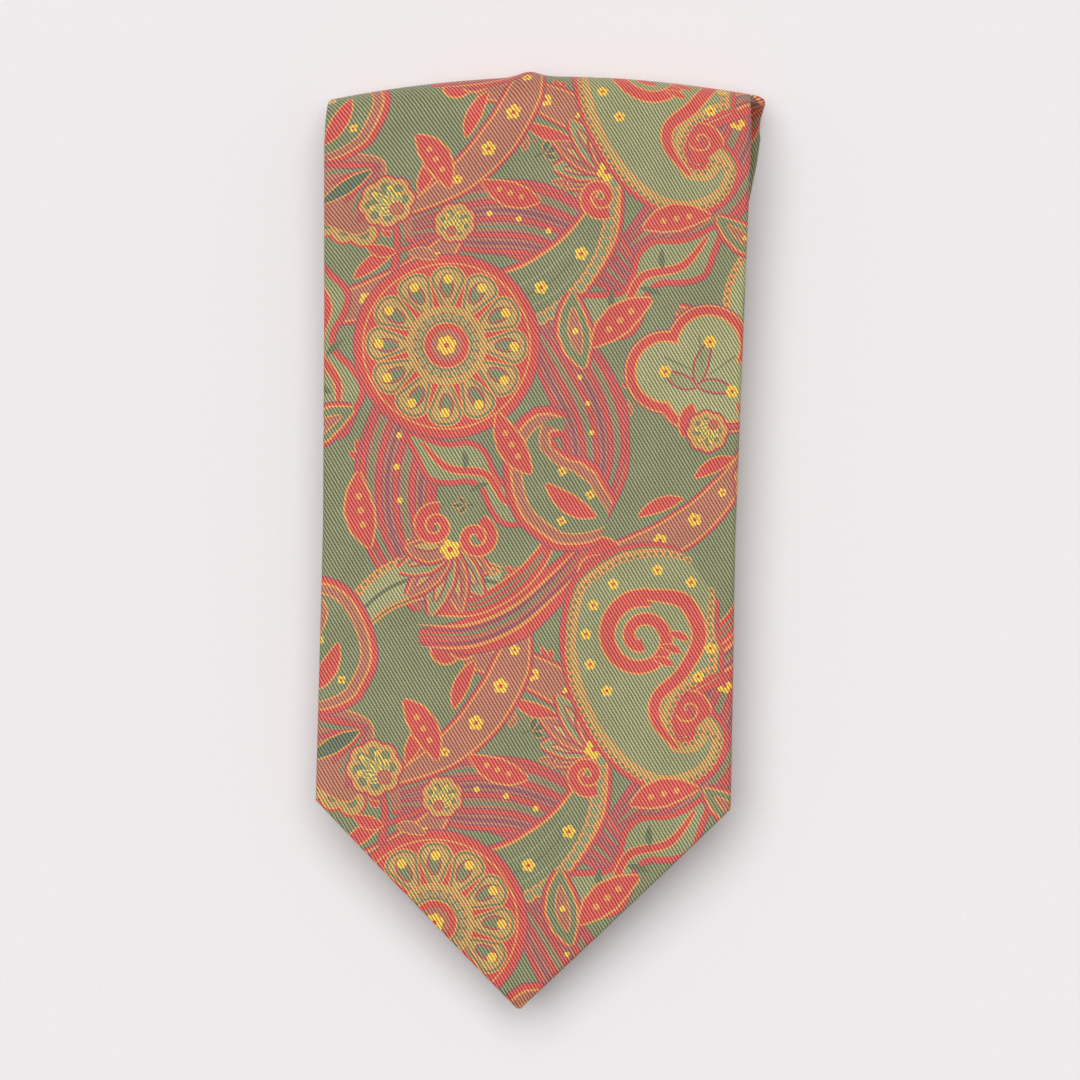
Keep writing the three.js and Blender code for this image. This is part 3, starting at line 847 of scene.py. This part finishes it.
def silk_piece(name, start, finish, bias_start=False, bias_end=False, **printing):
    """A stretch of the strip's silk. A bias end is cut at 45 degrees across the folded strip."""
    def end_line(s, bias):
        right, left = cut_half(1, s), cut_half(-1, s)
        q = np.arange(-left, right, GRID_STEP / 2)
        u, _ = fold(q, np.full(len(q), s))
        return np.stack([q, s + (u if bias else 0 * u)], axis=1)

    first, last = end_line(start, bias_start), end_line(finish, bias_end)
    side = stations(start, finish)[1:-1]
    inner = side[(side > start + bias_start * FLAP_OVERLAP) & (side < finish - bias_end * FLAP_OVERLAP)]
    right = np.array([(cut_half(1, s), s) for s in inner])
    left = np.array([(-cut_half(-1, s), s) for s in inner[::-1]])
    corner_start = [(cut_half(1, start), start - bias_start * FLAP_OVERLAP / 2)]
    corner_end = [(cut_half(1, finish), finish - bias_end * FLAP_OVERLAP / 2)]
    outline = np.concatenate([first, corner_start, right, corner_end, last[::-1], left])
    spill = half_width(start) if bias_start or bias_end else 0
    marks = stations(start - bias_start * spill, finish + bias_end * spill)
    lines = []
    for way in (-1, 1):
        for k in range(ROLL_STEPS + 1):
            h = half_width(marks)
            r = roll_radius(np.full(len(marks), way), h)
            lines.append(np.stack([way * (h - r + math.pi * r * k / ROLL_STEPS), marks], axis=1))
    turns = [(at, length) for at, length, turn, *_ in path.pieces if turn]
    dots = []
    for s in marks:
        reach = (cut_half(-1, s), cut_half(1, s))
        q = np.arange(-reach[0] + 1, reach[1], GRID_STEP)
        row = np.stack([q, np.full(len(q), s)], axis=1)
        if any(at < s < at + length for at, length in turns):
            lines.append(row)
        else:
            dots.append(row)
    dots = np.concatenate(dots) if dots else outline[:1]
    piece, size, cut = print_mesh(name, outline, lines, dots, on_strip, **printing)
    piece.data.materials.append(SILK_FINISH)
    return piece, size, cut


# ---- plain cloth: interlining, tipping, labels ------------------------------------------------

SHARP_ANGLE = math.radians(40)


def smooth_piece(name, where, faces, cloth):
    """A smooth-shaded piece from places in millimetres, each with its place on the flat cloth."""
    mesh = bpy.data.meshes.new(name)
    mesh.from_pydata((where * MM).tolist(), [], faces)
    uv = mesh.uv_layers.new(name="cloth")
    corners = np.empty(len(mesh.loops), int)
    mesh.loops.foreach_get("vertex_index", corners)
    uv.data.foreach_set("uv", np.array(cloth)[corners].ravel())
    mesh.shade_smooth()
    piece = bpy.data.objects.new(name, mesh)
    scene.collection.objects.link(piece)
    return piece


def slab(name, start, finish, across, low, high, columns=12, ripple=0.0):
    """A closed flat piece on the strip, from height low to high; across(s) gives its two sides."""
    rows = stations(start, finish)
    points, cloth, faces = [], [], []
    for s in rows:
        left, right = across(s)
        top = [(left + (right - left) * k / columns, high) for k in range(columns + 1)]
        bottom = [(left + (right - left) * k / columns, low) for k in range(columns, -1, -1)]
        for u, n in top + bottom:
            points.append((s, u, n + ripple * math.sin(u / 3.1 + s / 7.3)))
            cloth.append((u * MM, s * MM))
    ring = 2 * (columns + 1)
    for i in range(len(rows) - 1):
        for k in range(ring):
            a, b = i * ring + k, i * ring + (k + 1) % ring
            faces.append((a, b, b + ring, a + ring))
    for first, flip in ((0, True), ((len(rows) - 1) * ring, False)):
        for k in range(columns):
            quad = (first + k, first + k + 1, first + ring - 2 - k, first + ring - 1 - k)
            faces.append(quad[::-1] if flip else quad)
    points = np.array(points)
    where = place(points[:, 0], points[:, 1], points[:, 2])
    piece = smooth_piece(name, where, faces, cloth)
    piece.data.set_sharp_from_angle(angle=SHARP_ANGLE)
    return piece


# ---- threads ----------------------------------------------------------------------------------

THREAD_RADIUS = 0.12
THREAD_SIDES = 8
PLIES, PLY_PITCH = 2, 0.5


def thread(name, route):
    """A round thread through (s, u, n) places on the strip."""
    route = np.array(route, float)
    line = place(route[:, 0], route[:, 1], route[:, 2])
    rings, cloth = [], []
    gone = 0.0
    for i, at in enumerate(line):
        way = line[min(i + 1, len(line) - 1)] - line[max(i - 1, 0)]
        way /= np.linalg.norm(way)
        side = np.cross(way, (0.13, 0.21, 1.0))
        side /= np.linalg.norm(side)
        up = np.cross(side, way)
        gone += np.linalg.norm(at - line[max(i - 1, 0)])
        for k in range(THREAD_SIDES):
            a = 2 * math.pi * k / THREAD_SIDES
            rings.append(at + THREAD_RADIUS * (side * math.cos(a) + up * math.sin(a)))
            cloth.append((k / THREAD_SIDES, gone))
    faces = []
    for i in range(len(line) - 1):
        for k in range(THREAD_SIDES):
            a, b = i * THREAD_SIDES + k, i * THREAD_SIDES + (k + 1) % THREAD_SIDES
            faces.append((a, b, b + THREAD_SIDES, a + THREAD_SIDES))
    faces.append(tuple(range(THREAD_SIDES))[::-1])
    faces.append(tuple(range(len(rings) - THREAD_SIDES, len(rings))))
    piece = smooth_piece(name, np.array(rings), faces, cloth)
    piece.data.materials.append(THREAD_FINISH)
    return piece


# ---- materials --------------------------------------------------------------------------------

class Nodes:
    """A short way to wire a material's nodes."""

    def __init__(self, name, roughness, **settings):
        self.material = bpy.data.materials.new(name)
        self.material.use_nodes = True
        self.tree = self.material.node_tree
        self.shader = self.tree.nodes["Principled BSDF"]
        self.shader.inputs["Roughness"].default_value = roughness
        for key, value in settings.items():
            self.shader.inputs[key.replace("_", " ")].default_value = value

    def add(self, kind, **properties):
        node = self.tree.nodes.new("ShaderNode" + kind)
        for key, value in properties.items():
            setattr(node, key, value)
        return node

    def link(self, value, socket):
        if isinstance(value, bpy.types.NodeSocket):
            self.tree.links.new(value, socket)
        else:
            socket.default_value = value

    def math(self, operation, *values):
        node = self.add("Math", operation=operation)
        for value, socket in zip(values, node.inputs):
            self.link(value, socket)
        return node.outputs[0]

    def mix(self, factor, first, second, blend="MIX"):
        node = self.add("Mix", data_type="RGBA", blend_type=blend)
        self.link(factor, node.inputs["Factor"])
        self.link(first, node.inputs[6])
        self.link(second, node.inputs[7])
        return node.outputs[2]

    def noise(self, vector, scale, detail=2.0):
        node = self.add("TexNoise")
        self.link(vector, node.inputs["Vector"])
        node.inputs["Scale"].default_value = scale
        node.inputs["Detail"].default_value = detail
        return node.outputs["Fac"]

    def stretched(self, vector, turn, scale):
        node = self.add("Mapping")
        self.link(vector, node.inputs["Vector"])
        node.inputs["Rotation"].default_value = (0, 0, turn)
        node.inputs["Scale"].default_value = scale
        return node.outputs[0]

    def bump(self, height, distance, strength=1.0):
        node = self.add("Bump")
        node.inputs["Distance"].default_value = distance
        node.inputs["Strength"].default_value = strength
        self.link(height, node.inputs["Height"])
        self.link(node.outputs[0], self.shader.inputs["Normal"])

    def cloth(self):
        return self.add("UVMap", uv_map="cloth").outputs[0]


RIB_PITCH = 0.7 * MM
RIB_TURN = math.radians(-32)
PICK_PITCH = 0.42 * MM


def twill(nodes, pitch, turn, pick):
    """The ribs of a twill, 0 in the grooves and 1 on the ribs, broken up by the weft."""
    turned = nodes.stretched(nodes.cloth(), turn, (1, 1, 1))
    parts = nodes.add("SeparateXYZ")
    nodes.link(turned, parts.inputs[0])
    wander = nodes.noise(turned, 900.0, 2.0)
    along = nodes.math("SINE", nodes.math("MULTIPLY", parts.outputs[1], 2 * math.pi / pick))
    steps = nodes.math("MULTIPLY", along, 0.55)
    phase = nodes.math("ADD", nodes.math("MULTIPLY", parts.outputs[0], 2 * math.pi / pitch), steps)
    phase = nodes.math("ADD", phase, nodes.math("MULTIPLY", wander, 2.4))
    crisp = nodes.add("MapRange", interpolation_type="SMOOTHSTEP")
    nodes.link(nodes.math("SINE", phase), crisp.inputs["Value"])
    crisp.inputs["From Min"].default_value = -0.75
    crisp.inputs["From Max"].default_value = 0.75
    return crisp.outputs["Result"]


def silk_finish():
    nodes = Nodes("printed_silk_twill", 0.58, Specular_IOR_Level=0.32, Sheen_Weight=0.12, Sheen_Roughness=0.4)
    ribs = twill(nodes, RIB_PITCH, RIB_TURN, PICK_PITCH)
    ink = nodes.add("Attribute", attribute_name="ink").outputs["Color"]
    yarn = nodes.noise(nodes.cloth(), 2600.0, 3.0)
    # Painted rib light and shade: the ink is darkened in the twill's grooves as painted shade, and a lit copy
    # of it with a cream tint goes on the ribs as a painted highlight.
    groove = nodes.mix(1.0, ink, (0.5, 0.42, 0.42, 1), "MULTIPLY")
    lit = nodes.mix(1.0, ink, (1.42, 1.5, 1.45, 1), "MULTIPLY")
    rib_painted_highlight = nodes.mix(1.0, lit, (0.075, 0.06, 0.035, 1), "ADD")
    print_with_painted_rib_shade = nodes.mix(ribs, groove, rib_painted_highlight)
    mottle = nodes.noise(nodes.cloth(), 90.0, 3.0)
    shade = nodes.math("MULTIPLY_ADD", yarn, 0.42, nodes.math("MULTIPLY_ADD", mottle, 0.36, 0.63))
    tone = nodes.add("CombineColor")
    for socket in tone.inputs[:3]:
        nodes.link(shade, socket)
    nodes.link(nodes.mix(1.0, print_with_painted_rib_shade, tone.outputs[0], "MULTIPLY"), nodes.shader.inputs["Base Color"])
    nodes.bump(nodes.math("MULTIPLY_ADD", yarn, 0.3, ribs), 0.06 * MM)
    return nodes.material


def wool_finish():
    nodes = Nodes("brushed_interlining", 0.95, Sheen_Weight=0.4, Sheen_Roughness=0.6, Specular_IOR_Level=0.1)
    fibres = nodes.noise(nodes.stretched(nodes.cloth(), 0.4, (1, 0.25, 1)), 3200.0, 4.0)
    clumps = nodes.noise(nodes.cloth(), 240.0, 3.0)
    tone = nodes.math("MULTIPLY_ADD", fibres, 0.5, nodes.math("MULTIPLY", clumps, 0.5))
    colour = nodes.mix(tone, linear(196, 186, 166) + (1,), linear(240, 234, 220) + (1,))
    nodes.link(colour, nodes.shader.inputs["Base Color"])
    nodes.bump(fibres, 0.2 * MM)
    return nodes.material


def satin_finish(name, dark, light, pitch):
    nodes = Nodes(name, 0.36, Specular_IOR_Level=0.5, Anisotropic=0.5, Sheen_Weight=0.1)
    ribs = twill(nodes, pitch, math.radians(12), pitch * 2.6)
    streaks = nodes.noise(nodes.stretched(nodes.cloth(), 0, (1, 0.08, 1)), 2400.0, 3.0)
    # Lighter on the ribs and darker in the grooves is painted rib light and shade; the streaks vary the tone
    # at random.
    tone = nodes.math("MULTIPLY_ADD", ribs, 0.55, nodes.math("MULTIPLY", streaks, 0.45))
    nodes.link(nodes.mix(tone, dark + (1,), light + (1,)), nodes.shader.inputs["Base Color"])
    nodes.bump(ribs, 0.02 * MM)
    return nodes.material


def thread_finish():
    nodes = Nodes("sewing_thread", 0.55, Sheen_Weight=0.3, Specular_IOR_Level=0.35)
    parts = nodes.add("SeparateXYZ")
    nodes.link(nodes.cloth(), parts.inputs[0])
    round_it = nodes.math("MULTIPLY", parts.outputs[0], 2 * math.pi * PLIES)
    turns = nodes.math("MULTIPLY_ADD", parts.outputs[1], 2 * math.pi / PLY_PITCH, round_it)
    ply = nodes.math("MULTIPLY_ADD", nodes.math("SINE", turns), 0.5, 0.5)
    # The thread's colour is painted light and shade of its ply twist: lighter red on each ply's crest, darker
    # red where the plies meet.
    colour = nodes.mix(ply, linear(132, 44, 38) + (1,), linear(206, 92, 78) + (1,))
    nodes.link(colour, nodes.shader.inputs["Base Color"])
    nodes.bump(ply, 0.05 * MM)
    return nodes.material


SILK_FINISH = silk_finish()
WOOL_FINISH = wool_finish()
TIPPING_FINISH = satin_finish("tipping_satin", linear(92, 40, 40), linear(150, 78, 70), 0.28 * MM)
LABEL_FINISH = satin_finish("label_satin", linear(54, 60, 46), linear(98, 104, 82), 0.24 * MM)
THREAD_FINISH = thread_finish()


# ---- making the pieces ------------------------------------------------------------------------

# How far in from the strip's two points the silk starts and ends.
SILK_INSET = 0.3
BLADE_PANEL_END, TAIL_PANEL_START = JOIN_BLADE_NECK - JOIN_GAP / 2, JOIN_NECK_TAIL + JOIN_GAP / 2
NECK_PANEL = (JOIN_BLADE_NECK + JOIN_GAP / 2, JOIN_NECK_TAIL - JOIN_GAP / 2)
# The neck, tail and keeper are cut from other places in the print.
NECK_SHIFT, TAIL_SHIFT, KEEPER_SHIFT = (17, 23), (-21, 40), (35, 160)
RETURN_DETAIL, KEEPER_DETAIL = 1.6, 1.0


def attach(piece, stands_for, body):
    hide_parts(stands_for)
    if body == "crest":
        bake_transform(piece)
    else:
        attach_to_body(piece, body)


silks = [
    ("blade_silk", "blade_shell", "blade_flap", SILK_INSET, CREST_START, {}),
    ("crest_silk", "crest_shell", "crest", CREST_START, CREST_END, {}),
    ("return_silk", "return_shell", "folded_packet", CREST_END, BLADE_PANEL_END,
     {"bias_end": True, "smallest": RETURN_DETAIL, "hidden_from": HIDDEN_FROM}),
    ("neck_silk", "neck_shell", "folded_packet", *NECK_PANEL,
     {"bias_start": True, "bias_end": True, "shift": NECK_SHIFT, "smallest": HIDDEN_DETAIL}),
    ("tail_silk", "tail_shell", "folded_packet", TAIL_PANEL_START, LENGTH - SILK_INSET,
     {"bias_start": True, "shift": TAIL_SHIFT, "smallest": HIDDEN_DETAIL}),
]
for name, node, body, start, finish, options in silks:
    piece, size, cut = silk_piece(name, start, finish, **options)
    attach(piece, node, body)

SIDE_CLEARANCE = 1.1
POINT_INSET = 2.5
BLADE_TIPPING_END = 146.0
TAIL_TIPPING_LENGTH = 100.0
SLIMMEST = 0.3
# Each plain cloth: its lowest and highest place in the layer, its finish and its slot.
WOOL = (-0.05, 0.6, WOOL_FINISH, "interlining")
CREST_WOOL = (0.1, 0.5, WOOL_FINISH, "interlining")
TIPPING = (-0.35, -0.15, TIPPING_FINISH, "tipping")


def inside_shell(s):
    w = max(half_width(s) - SIDE_CLEARANCE, SLIMMEST)
    return -w, w


linings = [
    ("blade_wool", "blade_interlining", "blade_flap", POINT_INSET, CREST_START, WOOL),
    ("crest_wool", "crest_interlining", "crest", CREST_START, CREST_END, CREST_WOOL),
    ("packet_wool", "packet_interlining", "folded_packet", CREST_END, LENGTH - POINT_INSET, WOOL),
    ("blade_lining", "blade_tipping", "blade_flap", POINT_INSET, BLADE_TIPPING_END, TIPPING),
    ("tail_lining", "tail_tipping", "folded_packet", LENGTH - TAIL_TIPPING_LENGTH, LENGTH - POINT_INSET,
     TIPPING),
]
for name, node, body, start, finish, (low, high, finish_of, slot) in linings:
    piece = slab(name, start, finish, inside_shell, low, high)
    piece.data.materials.append(finish_of)
    attach(piece, node, body)
    rows = np.array([2 * inside_shell(s)[1] for s in stations(start, finish)])
    gaps = np.diff(stations(start, finish))
    cut = np.sum((rows[1:] + rows[:-1]) / 2 * gaps)


# The keeper is a flat tube of the same silk whose two feet are sewn to the blade's back.
KEEPER = {"from": 150.0, "length": 16.0, "width": 62.0, "band": 0.5, "foot": 5.0, "slack": 0.45}
LABEL_COLUMNS, LABEL_RIPPLE = 24, 0.03
BRAND_LABEL = {"from": 174.0, "length": 20.0, "width": 58.0, "thickness": 0.25, "x": 0.0}
CARE_LABEL = {"from": 128.0, "length": 14.0, "width": 24.0, "thickness": 0.2, "x": 16.0}


def keeper_face(u):
    """The height of the keeper's outer face: on the blade at its feet and raised between them."""
    half = KEEPER["width"] / 2
    rise = smoothstep(KEEPER["foot"], 2 * KEEPER["foot"], half - np.abs(u))
    return BACK - KEEPER["band"] - KEEPER["slack"] * rise


def on_keeper(v, u):
    """v goes round the flat tube, u along it."""
    r, half = KEEPER["band"] / 2, KEEPER["length"] / 2
    a, flat = np.abs(v), half - r
    angle = np.clip((a - flat) / r, 0, math.pi)
    behind = np.maximum(a - flat - math.pi * r, 0)
    along = np.sign(v) * (np.minimum(a, flat) + r * np.sin(angle) - behind)
    return place(KEEPER["from"] + half + along, u, keeper_face(u) + r * (1 - np.cos(angle)))


def make_keeper():
    r, half, end = KEEPER["band"] / 2, KEEPER["length"] / 2, KEEPER["width"] / 2
    reach = 2 * (half - r) + math.pi * r - 0.1
    us = np.linspace(-end, end, 25)
    outline = [(reach, u) for u in us] + [(-reach, u) for u in us[::-1]]
    lines = [np.array([(way * (half - r + math.pi * r * k / ROLL_STEPS), u) for u in us])
             for way in (-1, 1) for k in range(ROLL_STEPS + 1)]
    dots = np.array([(v, u) for u in us[1:-1] for v in np.linspace(-half + 1, half - 1, 6)])
    piece, size, cut = print_mesh("keeper_band", outline, lines, dots, on_keeper, KEEPER_SHIFT, KEEPER_DETAIL)
    piece.data.materials.append(SILK_FINISH)
    attach(piece, "keeper_loop", "blade_flap")


make_keeper()


def make_label(name, node, size):
    sides = (size["x"] - size["width"] / 2, size["x"] + size["width"] / 2)
    start = size["from"]
    piece = slab(name, start, start + size["length"], lambda s: sides, BACK - size["thickness"], BACK,
                 columns=LABEL_COLUMNS, ripple=LABEL_RIPPLE)
    piece.data.materials.append(LABEL_FINISH)
    attach(piece, node, "blade_flap")


make_label("blank_brand_label", "brand_label", BRAND_LABEL)
make_label("blank_care_label", "care_label", CARE_LABEL)


# The slip stitch: its pitch, its step along the seam, how far it lies past the flap's edge, how far
# it crosses the flap and in what part of its pitch, and how deep it dips there.
STITCH_PITCH, STITCH_STEP = 7.0, 1.0
STITCH_OFF, STITCH_CROSS, STITCH_PART, STITCH_DIP = 0.25, 0.75, 0.09, 0.2
STITCH_LEVEL = 0.1 - HALF
# A bar tack: its width, length and depth, its turns, and how far it lies from the flaps' meeting.
BAR_WIDTH, BAR_LENGTH, BAR_DEPTH, BAR_TURNS, BAR_OFF = 8, 1.8, 0.45, 11, 1.8
TURN_PLACES = 8
# The spare loop: its places, how far it hangs down, half its width, and how far in it starts.
LOOP_PLACES, LOOP_DROP, LOOP_HALF_WIDTH, LOOP_WAIST, LOOP_START = 40, 22, 3.5, 0.3, 1
# A row of hand stitches: its count, how far each one sways, and its distance from the edges.
ROW_COUNT, ROW_SWAY, ROW_INSET, ROW_MARGIN = 5, 0.3, 1.5, 0.5
# The thread of a join: its step, its depth under the silk, and how fast it waves.
JOIN_STEP, JOIN_DEPTH, JOIN_WAVE = 0.5, 0.06, 3


def slip_stitches(start, finish):
    """The seam's thread runs along the free edge of the outer flap and crosses it once a stitch."""
    route = []
    for s in np.arange(start, finish, STITCH_STEP):
        step = (s - start) % STITCH_PITCH / STITCH_PITCH
        over = math.exp(-((step - 0.5) / STITCH_PART) ** 2)
        u = -flap_reach(s) - STITCH_OFF + STITCH_CROSS * over
        route.append((s, u, STITCH_LEVEL - STITCH_DIP * over))
    return route


def wound(s):
    """Close turns of thread over the cloth."""
    route = []
    count = BAR_TURNS * TURN_PLACES
    for k in range(count + 1):
        a = 2 * math.pi * k / TURN_PLACES
        n = BACK - BAR_DEPTH / 2 + (BAR_DEPTH / 2 - THREAD_RADIUS) * math.sin(a)
        route.append((s + BAR_LENGTH / 2 * math.cos(a), -BAR_WIDTH / 2 + BAR_WIDTH * k / count, n))
    return route


def spare_loop():
    route = []
    for k in range(LOOP_PLACES + 1):
        t = math.pi * k / LOOP_PLACES
        bulge = math.sin(t)
        u = -math.cos(t) * LOOP_HALF_WIDTH * (LOOP_WAIST + bulge)
        route.append((BLADE_FLAPS_MEET - LOOP_START - LOOP_DROP * bulge, u, BACK - THREAD_RADIUS))
    return route


def stitch_row(side, size, face):
    """A row of stitches along a piece's end, on its left (-1) or right (1)."""
    route = []
    u = side * (size["width"] / 2 - ROW_INSET)
    count = TURN_PLACES * ROW_COUNT
    for k in range(count + 1):
        a = 2 * math.pi * k / TURN_PLACES
        s = size["from"] + ROW_MARGIN + (size["length"] - 2 * ROW_MARGIN) * k / count
        route.append((s, u - ROW_SWAY * math.cos(a), face - THREAD_RADIUS))
    return route


def join_stitches(s):
    """The thread of a bias seam, just under the silk from side to side."""
    w = half_width(s) - SIDE_CLEARANCE
    route = []
    for u in np.arange(-w, w, JOIN_STEP):
        n = HALF - SILK / 2 - JOIN_DEPTH + JOIN_DEPTH * math.sin(JOIN_WAVE * u)
        route.append((s + u, u * half_width(s + u) / half_width(s), n))
    return route


threads = [
    ("blade_slip_stitches", "blade_seam_thread", "blade_flap", slip_stitches(BLADE_FLAPS_MEET, CREST_START)),
    ("crest_slip_stitches", "crest_seam_thread", "crest", slip_stitches(CREST_START, CREST_END)),
    ("packet_slip_stitches", "packet_seam_thread", "folded_packet",
     slip_stitches(CREST_END, TAIL_FLAPS_MEET)),
    ("blade_bar_stitches", "blade_bar_tack", "blade_flap", wound(BLADE_FLAPS_MEET + BAR_OFF)),
    ("tail_bar_stitches", "tail_bar_tack", "folded_packet", wound(TAIL_FLAPS_MEET - BAR_OFF)),
    ("spare_loop", "spare_thread_loop", "blade_flap", spare_loop()),
    ("blade_neck_stitches", "blade_neck_join_thread", "folded_packet", join_stitches(JOIN_BLADE_NECK)),
    ("neck_tail_stitches", "neck_tail_join_thread", "folded_packet", join_stitches(JOIN_NECK_TAIL)),
]
for side, sign in (("left", -1), ("right", 1)):
    threads.append((f"keeper_sewing_{side}", f"keeper_stitches_{side}", "blade_flap",
                    stitch_row(sign, KEEPER, BACK - KEEPER["band"])))
    threads.append((f"label_sewing_{side}", f"label_stitches_{side}", "blade_flap",
                    stitch_row(sign, BRAND_LABEL, BACK - BRAND_LABEL["thickness"])))
for name, node, body, route in threads:
    attach(thread(name, route), node, body)


# ---- floor and light --------------------------------------------------------------------------

FLOOR_HALF = 1.5


def make_floor():
    corners = [(x * FLOOR_HALF, y * FLOOR_HALF, 0) for x, y in ((-1, -1), (1, -1), (1, 1), (-1, 1))]
    mesh = bpy.data.meshes.new("floor")
    mesh.from_pydata(corners, [], [(0, 1, 2, 3)])
    floor = bpy.data.objects.new("floor", mesh)
    scene.collection.objects.link(floor)
    nodes = Nodes("pale_paper", 0.9, Specular_IOR_Level=0.1)
    place_of = nodes.add("TexCoord").outputs["Object"]
    grain = nodes.noise(place_of, 900.0, 3.0)
    colour = nodes.mix(grain, linear(236, 232, 233) + (1,), linear(240, 237, 238) + (1,))
    nodes.link(colour, nodes.shader.inputs["Base Color"])
    mesh.materials.append(nodes.material)


def make_sun(name, towards, spread, strength):
    """A wide soft light from far away, so that the floor is evenly lit."""
    data = bpy.data.lights.new(name, "SUN")
    data.angle, data.energy = math.radians(spread), strength
    light = bpy.data.objects.new(name, data)
    light.rotation_euler = Vector(towards).to_track_quat("Z", "Y").to_euler()
    scene.collection.objects.link(light)


make_floor()
make_sun("key", (-0.12, 0.27, 1.0), 60.0, 2.5)
world = bpy.data.worlds.new("studio")
world.use_nodes = True
world.node_tree.nodes["Background"].inputs["Color"].default_value = (1.0, 0.99, 0.985, 1)
world.node_tree.nodes["Background"].inputs["Strength"].default_value = 0.25
scene.world = world
scene.view_settings.view_transform = "Standard"
